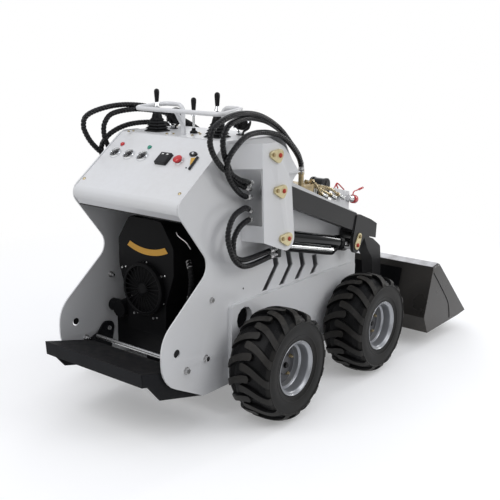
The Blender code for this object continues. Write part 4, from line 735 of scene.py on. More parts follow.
def add_plate(bm, place, outline, low, high, shrink=0.0):
    """Flat shape between two heights; shrink draws its upper edge in."""
    middle = sum((Vector((*p, 0)) for p in outline), Vector()) / len(outline)
    count = len(outline)
    verts = [place @ Vector((*p, low)) for p in outline]
    for p in outline:
        point = Vector((*p, 0))
        inward = middle - point
        verts.append(place @ (point + inward.normalized() * shrink + Vector((0, 0, high))))
    faces = [list(range(count - 1, -1, -1)), list(range(count, count * 2))]
    faces += [[i, (i + 1) % count, count + (i + 1) % count, count + i] for i in range(count)]
    add_mesh(bm, verts, faces)


def round_box(width, height, radius, x=0.0, y=0.0, steps=6):
    """Outline of a rectangle with round corners about a point."""
    points = []
    for sx, sy, start in ((1, 1, 0), (-1, 1, 1), (-1, -1, 2), (1, -1, 3)):
        for i in range(steps + 1):
            turn = (start + i / steps) * pi / 2
            points.append((x + sx * (width / 2 - radius) + radius * cos(turn),
                           y + sy * (height / 2 - radius) + radius * sin(turn)))
    return points


chrome_mat = finish_material("bright_chrome", "bright_steel", (0.78, 0.79, 0.80), 0.12, 1.0, spread=0.05,
                             grain=200.0, height=0.00001, stain_amount=0.1)
dial_mat = finish_material("dial_black", "black_plastic", (0.008, 0.008, 0.009), 0.25, spread=0.05,
                           grain=300.0, height=0.00001, specular=0.3)
mark_mat = finish_material("dial_white", "white_paint", (0.72, 0.72, 0.70), 0.5, spread=0.05)
red_mat = finish_material("red_plastic", None, (0.55, 0.012, 0.016), 0.24, spread=0.06, grain=300.0,
                          height=0.00002, coat=0.4)
green_mat = finish_material("green_lens", None, (0.010, 0.26, 0.17), 0.20, spread=0.05, grain=300.0,
                            height=0.00002, coat=0.5)
amber_mat = finish_material("amber_tag", None, (0.62, 0.36, 0.05), 0.45, spread=0.08, grain=300.0)
GAUGE_UP = 0.233
GAUGES = (0.216, 0.138, 0.061)
GAUGE_RADIUS = 0.0255
TICK_COUNT = 11
PILOT_UP = 0.285
PILOTS = ((0.216, "red", red_mat), (0.060, "green", green_mat))
METER_AT = (0.2325, -0.058)
METER_SLOTS = (-0.012, 0.012)
STOP_AT = (0.233, -0.136)
KEY_AT = (0.277, -0.180)
STRAP_AT = (0.2305, -0.215)
TAG_AT = (0.241, -0.200)
RIVET_AT = (0.205, -0.194)
bezels = bmesh.new()
faces = bmesh.new()
marks = bmesh.new()
for number, across in enumerate(GAUGES):
    place = on_panel(GAUGE_UP, across)
    r = GAUGE_RADIUS
    bezel = [(r * 0.80, 0.004), (r * 0.83, 0.0085), (r * 0.92, 0.0105), (r, 0.0085), (r * 1.04, 0.004),
             (r * 1.06, 0), (r * 0.80, 0)]
    add_lathe(bezels, bezel, place, 64)
    add_lathe(faces, [(0, 0.0052), (r * 0.81, 0.0052), (r * 0.81, 0.001), (0, 0.001)], place, 48)
    for i in range(TICK_COUNT):
        turn = radians(225 - 27 * i)
        tick = place @ Matrix.Rotation(turn, 4, "Z") @ Matrix.Translation((r * 0.66, 0, 0))
        long = r * (0.10 if i % 5 else 0.16)
        bar = [(long, 0.0006), (-long, 0.0006), (-long, -0.0006), (long, -0.0006)]
        add_plate(marks, tick, bar, 0.005, 0.0056)
    needle = place @ Matrix.Rotation(radians(200 - 40 * number), 4, "Z")
    pointer = [(r * 0.6, 0.0003), (-r * 0.12, 0.0009), (-r * 0.12, -0.0009), (r * 0.6, -0.0003)]
    add_plate(marks, needle, pointer, 0.0056, 0.0064)
    add_lathe(faces, [(0, 0.0078), (r * 0.12, 0.0074), (r * 0.14, 0.005), (0, 0.005)], place, 20)
for across, kind, lens_colour in PILOTS:
    place = on_panel(PILOT_UP, across)
    ring = [(0.0098, 0.001), (0.0100, 0.0030), (0.0116, 0.0026), (0.0122, 0), (0.0098, 0)]
    add_lathe(bezels, ring, place, 40)
    lens = bmesh.new()
    dome = [(0, 0.0110), (0.0050, 0.0104), (0.0086, 0.0078), (0.0098, 0.004), (0.0098, 0.001), (0, 0.001)]
    add_lathe(lens, dome, place, 40)
    piece("lamp_lens_" + kind, lens, lens_colour, "chassis", 50)
meter = on_panel(*METER_AT)
add_plate(faces, meter, round_box(0.060, 0.060, 0.004), 0, 0.012, 0.0015)
add_plate(faces, meter, round_box(0.052, 0.051, 0.003), 0.012, 0.0135, 0.001)
for across in METER_SLOTS:
    add_plate(marks, meter, round_box(0.006, 0.010, 0.0015, 0.018, across), 0.0135, 0.0141)
button = bmesh.new()
stop = on_panel(*STOP_AT)
add_lathe(button, [(0, 0.0215), (0.012, 0.0205), (0.0180, 0.0175), (0.0195, 0.0145), (0.0185, 0.0120),
                   (0.0120, 0.0100), (0.0105, 0.007), (0.0105, 0.004), (0, 0.004)], stop, 64)
piece("stop_button", button, red_mat, "chassis", 50)
add_lathe(bezels, [(0.0105, 0.004), (0.0150, 0.004), (0.0165, 0.0025), (0.0170, 0), (0.0105, 0)], stop, 48)
oval = on_panel(*KEY_AT) @ Matrix.Diagonal((0.62, 1.0, 1.0, 1.0))
add_lathe(faces, [(0, 0.008), (0.0170, 0.0075), (0.0190, 0.005), (0.0190, 0), (0, 0)], oval, 48)
add_lathe(bezels, [(0, 0.0105), (0.0045, 0.0100), (0.0055, 0.007), (0, 0.007)], on_panel(*KEY_AT), 32)
strap = on_panel(*STRAP_AT) @ Matrix.Rotation(radians(3.0), 4, "Z")
add_plate(faces, strap, round_box(0.072, 0.009, 0.0040), 0.003, 0.0075, 0.001)
tag = bmesh.new()
tag_outline = [(0.021, 0.013), (-0.018, 0.004), (-0.021, -0.001), (-0.018, -0.006), (0.019, -0.010)]
tag_place = on_panel(*TAG_AT) @ Matrix.Rotation(radians(16), 4, "Z")
add_plate(tag, tag_place, tag_outline, 0.0012, 0.0030, 0.0006)
piece("key_tag", tag, amber_mat, "chassis", 30)
rivet = [(0, 0.003), (0.0022, 0.003), (0.003, 0.001), (0.003, 0), (0, 0)]
add_lathe(faces, rivet, on_panel(*RIVET_AT), 16)
piece("gauge_bezels", bezels, chrome_mat, "chassis", 40)
piece("gauge_faces", faces, dial_mat, "chassis", 40)
piece("gauge_marks", marks, mark_mat, "chassis", 30)

# Bolts of deck and panel: small hexagon heads on the deck and two round screws near the panel's nose, all
# yellow zinc plated.
DECK_TOP = 1.1243
DECK_BOLTS = ((-0.107, 0.230), (-0.079, 0.231), (-0.042, 0.037), (0.040, 0.060), (-0.031, -0.056),
              (0.027, -0.047), (-0.062, 0.055), (0.055, -0.015), (-0.079, -0.262), (0.210, 0.255),
              (0.210, -0.255))
DECK_BOLT_WIDTH = 0.0058
DECK_BOLT_HEIGHT = 0.0045
PANEL_SCREWS = ((0.076, 0.268), (0.076, -0.256))
zinc_mat = finish_material("yellow_zinc_bolts", "yellow_zinc", (0.50, 0.41, 0.25), 0.28, 0.95,
                           stain=(0.24, 0.21, 0.14), stain_amount=0.6, stain_scale=80.0, spread=0.2,
                           grain=700.0, height=0.00005)
bm = bmesh.new()
for x, y in DECK_BOLTS:
    add_hex(bm, (x, y, DECK_TOP - 0.0005), (0, 0, 1), DECK_BOLT_WIDTH, DECK_BOLT_HEIGHT)
for up, across in PANEL_SCREWS:
    foot = on_panel(up, across)
    add_lathe(bm, [(0, 0.0048), (0.0040, 0.0042), (0.0066, 0.0022), (0.0072, 0), (0, 0)], foot, 28)
piece("deck_bolts", bm, zinc_mat, "chassis", 35)

# Controls: two joysticks that stand in stepped rubber bellows, and a middle lever in a short boot. The grips
# are moulded black plastic, waisted and ribbed, and sit on bright collars.
BOOT_X = -0.005
BOOT_Y = 0.1653
LEVER_TOP = 1.300
BOOT_TIERS = 5
BOOT_FOOT = 0.042
BOOT_NECK = 0.0135
BOOT_HEIGHT = 0.058
RIDGE_COUNT = 6
RIDGE_RADIUS = 0.0016


def add_square_stack(bm, place, rows):
    """Stack of square rings with round corners, rows of (half width, height), closed at both ends."""
    loops = []
    verts = []
    for half, height in rows:
        loop = round_box(half * 2, half * 2, half * 0.28, steps=4)
        loops.append(range(len(verts), len(verts) + len(loop)))
        verts += [place @ Vector((x, y, height)) for x, y in loop]
    count = len(loops[0])
    quads = [list(loops[0]), list(reversed(loops[-1]))]
    for upper, lower in zip(loops, loops[1:]):
        quads += [[upper[i], lower[i], lower[(i + 1) % count], upper[(i + 1) % count]] for i in range(count)]
    add_mesh(bm, verts, quads)


def add_grip(bm, collar, top, stick_foot):
    """Waisted hand grip ending at top, and the bright stick and collar below it."""
    place = Matrix.Translation(top)
    waist = [(0, 0), (0.0045, -0.0012), (0.0092, -0.0045), (0.0111, -0.011), (0.0109, -0.020),
             (0.0095, -0.036), (0.0081, -0.050), (0.0076, -0.055), (0, -0.055)]
    add_lathe(bm, waist, place, 40)
    for i in range(RIDGE_COUNT):
        ridge = place @ Matrix.Rotation(2 * pi * i / RIDGE_COUNT, 4, "Z")
        high = ridge @ Vector((0.0099, 0, -0.011))
        low = ridge @ Vector((0.0070, 0, -0.050))
        add_rod(bm, high, low, RIDGE_RADIUS, 10, 0.0004)
    foot = stick_foot - top.z
    stick = [(0, -0.0545), (0.0066, -0.0545), (0.0076, -0.058), (0.0114, -0.072), (0.0080, -0.0735),
             (0.0050, -0.076), (0.0050, foot), (0, foot)]
    add_lathe(collar, stick, place, 32)


boot_mat = finish_material("bellows_rubber", "black_plastic", (0.005, 0.005, 0.0055), 0.40, spread=0.15,
                           grain=900.0, height=0.00006, specular=0.22)
for side, sign in SIDES:
    bm = bmesh.new()
    collar = bmesh.new()
    place = Matrix.Translation((BOOT_X, sign * BOOT_Y, DECK_TOP))
    rows = []
    for i in range(BOOT_TIERS):
        half = BOOT_NECK * 1.35 + (BOOT_FOOT - BOOT_NECK * 1.35) * (i + 1) / BOOT_TIERS
        height = BOOT_HEIGHT * (1 - (i + 1) / BOOT_TIERS)
        rows += [(half * 0.72, height + 0.0105), (half * 0.97, height + 0.0032)]
        rows += [(half, height + 0.0018), (half * 0.97, height)]
    add_square_stack(bm, place, rows)
    neck = [(0, 0.081), (0.0145, 0.081), (0.0166, 0.078), (0.0215, 0.062), (0.0230, 0.052), (0, 0.052)]
    add_lathe(bm, neck, place, 40)
    add_grip(bm, collar, Vector((BOOT_X, sign * BOOT_Y, LEVER_TOP)), DECK_TOP + 0.076)
    lever = piece("joystick_" + side, bm, boot_mat, "chassis", 40, 0.0005, 2)
    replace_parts(lever, "control_lever_" + side)
    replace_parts(piece("joystick_collar_" + side, collar, chrome_mat, "chassis", 35), "control_lever_" + side)
MIDDLE_X = 0.040
MIDDLE_TOP = 1.270
bm = bmesh.new()
collar = bmesh.new()
middle = Matrix.Translation((MIDDLE_X, 0, DECK_TOP))
boot = [(0, 0.022), (0.0075, 0.021), (0.0085, 0.012), (0.0150, 0.0075), (0.0160, 0.004), (0.0160, 0), (0, 0)]
add_lathe(bm, boot, middle, 36)
add_grip(bm, collar, Vector((MIDDLE_X, 0, MIDDLE_TOP)), DECK_TOP + 0.02)
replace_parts(piece("middle_lever", bm, boot_mat, "chassis", 40), "control_lever_middle")
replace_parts(piece("middle_lever_collar", collar, chrome_mat, "chassis", 35), "control_lever_middle")

# Work lamps: finned black shells with clear lenses. Each hangs between two bent rods, one black and one
# bright, on a small foot plate that one bolt holds to the deck.
LAMP_X = 0.120
LAMP_Y = 0.187
LAMP_Z = 1.178
LAMP_HALF = 0.017
COOLING_FINS = 7
LEG_RADIUS = 0.0042
plastic_mat = finish_material("black_plastic_moulding", "black_plastic", (0.007, 0.007, 0.0075), 0.42,
                              spread=0.15, grain=700.0, height=0.00006, dust=0.04, low=0.01, specular=0.3)
lens_mat = finish_material("lamp_lens", "bright_steel", (0.70, 0.72, 0.74), 0.10, 0.6, spread=0.04,
                           grain=90.0, height=0.0004, coat=0.8)
for side, sign in SIDES:
    shell = bmesh.new()
    legs = bmesh.new()
    face = bmesh.new()
    y = sign * LAMP_Y
    place = along((LAMP_X - LAMP_HALF, y, LAMP_Z), (LAMP_X + LAMP_HALF, y, LAMP_Z))
    bowl = [(0.0325, 0.033), (0.0335, 0.036), (0.0362, 0.036), (0.0368, 0.032), (0.0355, 0.028),
            (0.0345, 0.020), (0.0320, 0.008), (0.0270, -0.001), (0.0150, -0.006), (0, -0.007), (0, 0.010),
            (0.0300, 0.014)]
    add_lathe(shell, bowl, place, 56)
    add_lathe(face, [(0, 0.0345), (0.018, 0.0338), (0.0328, 0.0315), (0.0328, 0.028), (0, 0.024)], place, 48)
    for i in range(COOLING_FINS):
        turn = place @ Matrix.Rotation(2 * pi * i / COOLING_FINS, 4, "Z")
        fin = [(0.010, 0.0012), (-0.010, 0.0012), (-0.010, -0.0012), (0.010, -0.0012)]
        add_plate(shell, turn @ Matrix.Translation((0.020, 0, -0.004)), fin, -0.006, 0.004)
    for edge in (-1, 1):
        route = [Vector((LAMP_X - 0.002, y + edge * 0.012, DECK_TOP + 0.001)),
                 Vector((LAMP_X - 0.002, y + edge * 0.013, DECK_TOP + 0.014)),
                 Vector((LAMP_X, y + edge * 0.0385, LAMP_Z - 0.022)),
                 Vector((LAMP_X, y + edge * 0.0395, LAMP_Z))]
        add_tube(shell if edge < 0 else legs, route_points(route, 0.006), LEG_RADIUS, 10)
        add_hex(legs, (LAMP_X, y + edge * 0.036, LAMP_Z), (0, edge, 0), 0.0062, 0.006)
    foot = Matrix.Translation((LAMP_X - 0.002, y, DECK_TOP))
    add_plate(shell, foot, round_box(0.020, 0.036, 0.003), 0, 0.004)
    add_hex(legs, (LAMP_X - 0.002, y, DECK_TOP + 0.004), (0, 0, 1), 0.0065, 0.005)
    lamp_parts = (("shell", shell, plastic_mat), ("legs", legs, chrome_mat), ("lens", face, lens_mat))
    for name, bm, mat in lamp_parts:
        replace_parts(piece("lamp_%s_%s" % (name, side), bm, mat, "chassis", 35), "work_lamp_" + side)

# Handlebar: the bent round bar by the controls that the driver holds on to. It stands on one bent post and is
# powder-coated white like the body.
dressed("handlebar", white_mat, 0.0004, 1, 50)

# Pin keepers: steel plates, yellow zinc plated, that lock each hinge pin to its boss with one bolt. A red
# plastic cap covers the grease nipple in the pin's end. The elbow's keeper is thinner and rides on the arm.
# Columns: along and up from the pin, radius of the corner.
TOWER_CORNERS = ((-0.043, 0.006, 0.0150), (0.002, 0.003, 0.0215), (-0.005, -0.011, 0.0190))
ELBOW_CORNERS = ((0.0, 0.0, 0.0215), (0.018, 0.038, 0.0175))
# Columns: name, pin along, pin up, inner face, outer face, body, corners.
KEEPERS = (
    ("tie", 0.106, 1.062, 0.3848, 0.3965, "chassis", TOWER_CORNERS),
    ("arm", 0.136, 0.917, 0.3848, 0.3965, "chassis", TOWER_CORNERS),
    ("lift", 0.179, 0.715, 0.3848, 0.3965, "chassis", TOWER_CORNERS),
    ("elbow", 0.752, 0.579, 0.3735, 0.3790, "arms", ELBOW_CORNERS))
KEEPER_EDGE = 0.0016
KEEPER_BOLT_WIDTH = 0.0088
KEEPER_BOLT_HEIGHT = 0.0058


def keeper_outline(corners, steps=72):
    """Outline drawn tight round several corner arcs."""
    points = []
    for i in range(steps):
        turn = 2 * pi * i / steps
        way = Vector((cos(turn), sin(turn)))
        x, z, radius = max(corners, key=lambda c: c[0] * way.x + c[1] * way.y + c[2])
        points.append((x + radius * way.x, z + radius * way.y))
    return points


keeper_mat = finish_material("keeper_plate_zinc", "yellow_zinc", (0.66, 0.58, 0.36), 0.38, 0.75,
                             stain=(0.50, 0.42, 0.20), stain_amount=0.6, stain_scale=60.0, spread=0.25,
                             grain=600.0, height=0.00008)
cap_mat = finish_material("red_nipple_cap", None, (0.46, 0.035, 0.012), 0.35, spread=0.08, grain=300.0,
                          height=0.00002)
for side, sign in SIDES:
    for label, px, pz, inner, outer, body, corners in KEEPERS:
        tag = "_%s_%s" % (label, side)
        outline = keeper_outline(corners)
        bm = bmesh.new()
        low = [bm.verts.new((px + x, sign * inner, pz + z)) for x, z in outline]
        high = [bm.verts.new((px + x, sign * outer, pz + z)) for x, z in outline]
        bm.faces.new(low)
        bm.faces.new(list(reversed(high)))
        for i in range(len(outline)):
            j = (i + 1) % len(outline)
            bm.faces.new((low[i], low[j], high[j], high[i]))
        piece("keeper" + tag, bm, keeper_mat, body, 30, KEEPER_EDGE, 3)
        bolt = corners[0] if body == "chassis" else corners[1]
        bm = bmesh.new()
        foot = (px + bolt[0], sign * (outer - 0.0003), pz + bolt[1])
        add_hex(bm, foot, (0, sign, 0), KEEPER_BOLT_WIDTH, KEEPER_BOLT_HEIGHT)
        piece("keeper_bolt" + tag, bm, valve_mat, body, 30)
        bm = bmesh.new()
        place = along((px, sign * (outer - 0.001), pz), (px, sign * (outer + 0.006), pz))
        cap = [(0, 0.0085), (0.0050, 0.0078), (0.0082, 0.0058), (0.0096, 0.002), (0.0096, 0), (0, 0)]
        add_lathe(bm, cap, place, 32)
        piece("nipple_cap" + tag, bm, cap_mat, body, 50)

# Lift cylinders' pipes: a bright plated oil pipe lies along the barrel's underside and ends in a black
# elbow at the gland, with a thinner black tube below it; a black gland nut closes the barrel.
LIFT_BASE = Vector((0.179, 0, 0.715))
LIFT_EYE = Vector((0.752, 0, 0.579))
LIFT_LINE = 0.335
PIPE_RADIUS = 0.0098
PIPE_BELOW = 0.0345
PIPE_OUT = 0.0245
LIFT_RUN = (LIFT_EYE - LIFT_BASE).normalized()
LIFT_UNDER = Vector((LIFT_RUN.z, 0, -LIFT_RUN.x))
UNDER_TUBE_RADIUS = 0.0062
BEND_RADIUS = 0.0105
GLAND_RADIUS = 0.0345
pipe_mat = finish_material("plated_pipe", "bright_steel", (0.66, 0.67, 0.66), 0.24, 0.85, spread=0.12,
                           grain=500.0, height=0.00003, stain_amount=0.2, stain_scale=30.0)


def by_barrel(run, below, sign, outward=0.0):
    """Point beside a lift cylinder: along from its base, below its axis, outward from its line."""
    return LIFT_BASE + LIFT_RUN * run + LIFT_UNDER * below + Vector((0, sign * (LIFT_LINE + outward), 0))


for side, sign in SIDES:
    body = "lift_barrel_" + side
    bm = bmesh.new()
    route = [by_barrel(run, PIPE_BELOW, sign, PIPE_OUT) for run in (0.045, 0.12, 0.28, 0.395)]
    add_tube(bm, route_points(route, 0.012), PIPE_RADIUS, 20)
    nut_start = by_barrel(0.385, PIPE_BELOW, sign, PIPE_OUT)
    nut_end = by_barrel(0.402, PIPE_BELOW, sign, PIPE_OUT)
    add_rod(bm, nut_start, nut_end, 0.0114, 6, 0.001)
    piece("cylinder_pipe_" + side, bm, pipe_mat, body, 40)
    bm = bmesh.new()
    bend_route = ((0.400, PIPE_BELOW), (0.418, PIPE_BELOW), (0.434, PIPE_BELOW - 0.006),
                  (0.444, PIPE_BELOW - 0.022))
    bend = [by_barrel(run, below, sign, PIPE_OUT * 0.9) for run, below in bend_route]
    add_tube(bm, route_points(bend, 0.004), BEND_RADIUS, 20)
    add_rod(bm, by_barrel(0.462, 0, sign), by_barrel(0.494, 0, sign), GLAND_RADIUS, 64, 0.002)
    under = [by_barrel(run, PIPE_BELOW + 0.0165, sign, PIPE_OUT * 0.8) for run in (0.040, 0.12, 0.28, 0.40)]
    under.append(by_barrel(0.424, PIPE_BELOW + 0.010, sign, PIPE_OUT * 0.8))
    under.append(by_barrel(0.440, PIPE_BELOW - 0.006, sign, PIPE_OUT * 0.7))
    add_tube(bm, route_points(under, 0.008), UNDER_TUBE_RADIUS, 16)
    piece("cylinder_trim_" + side, bm, black_mat, body, 35, 0.0004, 1)

# Engine's rear: the fan's radial fins of black plastic, bright zinc plated cover bolts, a bare yellow arc
# above the fan, the air cleaner's wire bail, an oil hose on the right and the exhaust's elbow on the left.
ENGINE_REAR = -0.2150
FAN_X = ENGINE_REAR - 0.0215
FAN_Y = 0.036
FAN_Z = 0.510
FAN_FINS = 26
# Columns: across, up, radius.
COVER_BOLTS = ((0.169, 0.576, 0.0062), (0.048, 0.615, 0.0056), (-0.055, 0.576, 0.0062),
               (0.134, 0.457, 0.0056), (-0.046, 0.457, 0.0050), (0.104, 0.391, 0.0060),
               (-0.006, 0.390, 0.0062))
COVER_BOLT_HEIGHT = 0.0060
PEG_ACROSS = -0.020
PEG_UP = 0.006
PEG_REAR = 0.0050
BAIL_ROUTE = ((-0.143, 0.772), (-0.150, 0.760), (-0.172, 0.749), (-0.196, 0.738), (-0.218, 0.716))
BAIL_X = ENGINE_REAR - 0.006
BAIL_RADIUS = 0.0019
BAND_CENTRE = Vector((0.024, 0.9295))
BAND_INNER = 0.2525
BAND_OUTER = 0.2775
BAND_HALF = radians(24.3)
BAND_TAPER = 0.94
BAND_STEPS = 32
BAND_PROUD = 0.0016
BAND_SUNK = 0.0004
fan_mat = finish_material("fan_moulding", "black_plastic", (0.0035, 0.0035, 0.004), 0.38, spread=0.15,
                          grain=500.0, height=0.00005, specular=0.10)
bm = bmesh.new()
fin = [(0.026, -0.0009), (0.096, -0.0018), (0.096, 0.0018), (0.026, 0.0009)]
for i in range(FAN_FINS):
    turn = Matrix.Translation((FAN_X, FAN_Y, FAN_Z)) @ Matrix.Rotation(-pi / 2, 4, "Y")
    turn = turn @ Matrix.Rotation(2 * pi * i / FAN_FINS, 4, "Z")
    add_plate(bm, turn, fin, 0, 0.0030, 0.0005)
hub = along((FAN_X, FAN_Y, FAN_Z), (FAN_X - 1, FAN_Y, FAN_Z))
ring = [(0.0960, 0.0022), (0.0980, 0.0036), (0.1030, 0.0036), (0.1060, 0.0020), (0.1065, 0), (0.0960, 0)]
add_lathe(bm, ring, hub, 96)
add_lathe(bm, [(0, 0.0050), (0.0150, 0.0046), (0.0225, 0.0036), (0.0265, 0), (0, 0)], hub, 64)
piece("fan_grille", bm, fan_mat, "chassis", 35)
bm = bmesh.new()
for y, z, radius in COVER_BOLTS:
    add_hex(bm, (ENGINE_REAR + 0.001, y, z), (-1, 0, 0), radius, COVER_BOLT_HEIGHT)
    peg = Vector((ENGINE_REAR, y + PEG_ACROSS, z + PEG_UP))
    add_rod(bm, peg + Vector((0.001, 0, 0)), peg - Vector((PEG_REAR, 0, 0)), radius * 0.6, 16, 0.001)
bail = [Vector((BAIL_X, y, z)) for y, z in BAIL_ROUTE]
add_tube(bm, route_points(bail, 0.006), BAIL_RADIUS, 10)
piece("engine_bolts", bm, steel_mat, "chassis", 35)
bm = bmesh.new()
outline = []
for i in range(BAND_STEPS + 1):
    turn = -pi / 2 - BAND_HALF + 2 * BAND_HALF * i / BAND_STEPS
    outline.append(BAND_CENTRE + BAND_OUTER * Vector((cos(turn), sin(turn))))
for i in range(BAND_STEPS, -1, -1):
    turn = -pi / 2 - BAND_HALF * BAND_TAPER + 2 * BAND_HALF * BAND_TAPER * i / BAND_STEPS
    outline.append(BAND_CENTRE + BAND_INNER * Vector((cos(turn), sin(turn))))
front = [bm.verts.new((ENGINE_REAR - BAND_PROUD, y, z)) for y, z in outline]
back = [bm.verts.new((ENGINE_REAR + BAND_SUNK, y, z)) for y, z in outline]
for i in range(BAND_STEPS):
    j = 2 * BAND_STEPS + 1 - i
    for ring in (front, back):
        bm.faces.new((ring[i], ring[i + 1], ring[j - 1], ring[j]))
for i in range(len(outline)):
    j = (i + 1) % len(outline)
    bm.faces.new((front[i], front[j], back[j], back[i]))
band_mat = finish_material("yellow_band", None, (0.60, 0.31, 0.028), 0.42, spread=0.08, grain=300.0,
                           height=0.00002)
piece("engine_band", bm, band_mat, "chassis", 30)
# Points of both routes: ahead of the engine's rear face, across, up.
OIL_ROUTE = ((0.012, -0.190, 0.660), (-0.006, -0.214, 0.640), (-0.014, -0.226, 0.600),
             (-0.014, -0.224, 0.560), (-0.006, -0.212, 0.525), (0.014, -0.190, 0.505))
EXHAUST_ROUTE = ((0.015, 0.184, 0.398), (0.008, 0.200, 0.400), (0.006, 0.220, 0.400), (0.006, 0.243, 0.399))
OIL_RADIUS = 0.0092
OIL_NUT_RADIUS = 0.0112
EXHAUST_RADIUS = 0.0265
bm = bmesh.new()
oil = [Vector((ENGINE_REAR + ahead, y, z)) for ahead, y, z in OIL_ROUTE]
add_tube(bm, route_points(oil, 0.004), OIL_RADIUS, 16, guard)
exhaust = [Vector((ENGINE_REAR + ahead, y, z)) for ahead, y, z in EXHAUST_ROUTE]
add_tube(bm, route_points(exhaust, 0.006), EXHAUST_RADIUS, 36)
piece("engine_hose_and_exhaust", bm, fan_mat, "chassis", 45)
bm = bmesh.new()
for a, b in ((0, 1), (4, 5)):
    add_rod(bm, oil[a], oil[b], OIL_NUT_RADIUS, 6, 0.001)
piece("engine_hose_ends", bm, steel_mat, "chassis", 35)
BAFFLE_X = -0.148
BAFFLE_Z = 0.298
BAFFLE_THICKNESS = 0.002
BAFFLE_WIDTH = 0.566
BAFFLE_HEIGHT = 0.200
bm = bmesh.new()
baffle = Matrix.Diagonal((BAFFLE_THICKNESS, BAFFLE_WIDTH, BAFFLE_HEIGHT, 1))
bmesh.ops.create_cube(bm, size=1.0, matrix=Matrix.Translation((BAFFLE_X, 0, BAFFLE_Z)) @ baffle)
piece("engine_baffle", bm, black_mat, "chassis", 30)

# Hydraulics on the hood: yellow zinc plated steel pipes run from the valve bank to a row of quick couplers by
# the coupler plate. Red rubber caps on straps keep the open couplings clean.
VALVE_FRONT = 0.520
# Routes: along, across, up; each ends in a coupler at its last two points.
AUXILIARY_PIPES = (
    ((0.512, -0.268, 0.900), (0.536, -0.275, 0.884), (0.560, -0.282, 0.850), (0.575, -0.283, 0.833),
     (0.610, -0.283, 0.818)),
    ((0.512, -0.254, 0.878), (0.560, -0.270, 0.862), (0.610, -0.281, 0.838), (0.650, -0.283, 0.818),
     (0.688, -0.283, 0.801)),
    ((0.512, -0.238, 0.892), (0.585, -0.262, 0.868), (0.655, -0.279, 0.848), (0.715, -0.283, 0.812),
     (0.763, -0.283, 0.790)),
    ((0.512, -0.222, 0.868), (0.600, -0.236, 0.852), (0.690, -0.246, 0.836), (0.752, -0.252, 0.818),
     (0.784, -0.254, 0.806)))
AUXILIARY_RADIUS = 0.0058
PLUG_PLACES = (-0.150, -0.075, 0.0, 0.075, 0.150, 0.225)
PLUG_Z = 0.896
# Unions under the hoses' ends: along and across, between two heights.
UNION_PLACES = ((0.436, 0.268), (0.466, 0.247), (0.495, 0.227))
UNION_FOOT = 0.936
UNION_TOP = 0.9490
UNION_RADIUS = 0.0138
# Quick couplers that stand on the hood: along, across, foot, top.
COUPLERS = ((0.600, -0.236, 0.803, 0.868), (0.664, -0.224, 0.778, 0.856), (0.700, -0.214, 0.764, 0.840))
bm = bmesh.new()
couplers = bmesh.new()
for route in AUXILIARY_PIPES:
    points = [Vector(p) for p in route]
    add_tube(bm, route_points(points[:-1], 0.006), AUXILIARY_RADIUS, 14)
    way = (points[-1] - points[-2]).normalized()
    add_rod(bm, points[-2] - way * 0.008, points[-2] + way * 0.006, 0.0105, 6, 0.001)
    add_rod(couplers, points[-2] + way * 0.004, points[-1] - way * 0.006, 0.0102, 28, 0.0012)
    add_rod(couplers, points[-1] - way * 0.010, points[-1] + way * 0.002, 0.0116, 28, 0.0015)
    add_rod(bm, points[0], points[0] + (points[1] - points[0]).normalized() * 0.016, 0.0110, 6, 0.001)
for y in PLUG_PLACES:
    add_rod(bm, (VALVE_FRONT - 0.002, y, PLUG_Z), (VALVE_FRONT + 0.012, y, PLUG_Z), 0.0120, 6, 0.001)
    add_rod(couplers, (VALVE_FRONT + 0.010, y, PLUG_Z), (VALVE_FRONT + 0.018, y, PLUG_Z), 0.0070, 20, 0.001)
for side, sign in SIDES:
    for x, y in UNION_PLACES:
        add_rod(bm, (x, sign * y, UNION_FOOT), (x, sign * y, UNION_TOP), UNION_RADIUS, 6, 0.0012)
for x, y, low, high in COUPLERS:
    add_rod(couplers, (x, y, low), (x, y, high - 0.018), 0.0070, 20, 0.001)
    add_rod(couplers, (x, y, high - 0.020), (x, y, high), 0.0125, 28, 0.003)
piece("auxiliary_pipes", bm, zinc_mat, "chassis", 35)
PLATE_OUTLINE = [(0.690, 0.774), (0.788, 0.737), (0.788, 0.8215), (0.700, 0.845)]
PLATE_NEAR = 0.2625
PLATE_FAR = 0.2665
bm = bmesh.new()
add_plate(bm, Matrix.Rotation(pi / 2, 4, "X"), PLATE_OUTLINE, PLATE_NEAR, PLATE_FAR)
piece("coupler_plate", bm, white_mat, "chassis", 30, 0.0008, 2)
piece("auxiliary_couplers", couplers, pipe_mat, "chassis", 35)
bm = bmesh.new()
socket = Vector((0.8645, -0.275, 0.770))
socket_way = Vector((0.0500, 0, -0.0130)).normalized()
add_rod(bm, socket - socket_way * 0.046, socket - socket_way * 0.006, 0.0148, 36, 0.0012)
add_rod(bm, socket - socket_way * 0.016, socket - socket_way * 0.006, 0.0166, 36, 0.0015)
piece("coupler_sleeve", bm, pipe_mat, "chassis", 35)
bm = bmesh.new()
cap = [(0, 0.036), (0.010, 0.0355), (0.0175, 0.032), (0.0205, 0.026), (0.0208, 0.004), (0.0195, 0), (0, 0)]
add_lathe(bm, cap, along(socket - socket_way * 0.010, socket), 48)
CAP_STRAP = ((0.862, -0.275, 0.790), (0.868, -0.274, 0.802), (0.886, -0.272, 0.806), (0.920, -0.271, 0.808),
             (0.962, -0.270, 0.812))
PLATE_STRAPS = (
    ((0.712, -0.262, 0.836), (0.722, -0.262, 0.846), (0.738, -0.262, 0.860), (0.764, -0.262, 0.846),
     (0.800, -0.262, 0.822)),
    ((0.738, -0.262, 0.860), (0.734, -0.264, 0.848), (0.742, -0.266, 0.836)))
strap = [Vector(p) for p in CAP_STRAP]
add_tube(bm, route_points(strap, 0.005), 0.0030, 10)
add_rod(bm, strap[3], strap[4], 0.0052, 12, 0.002)
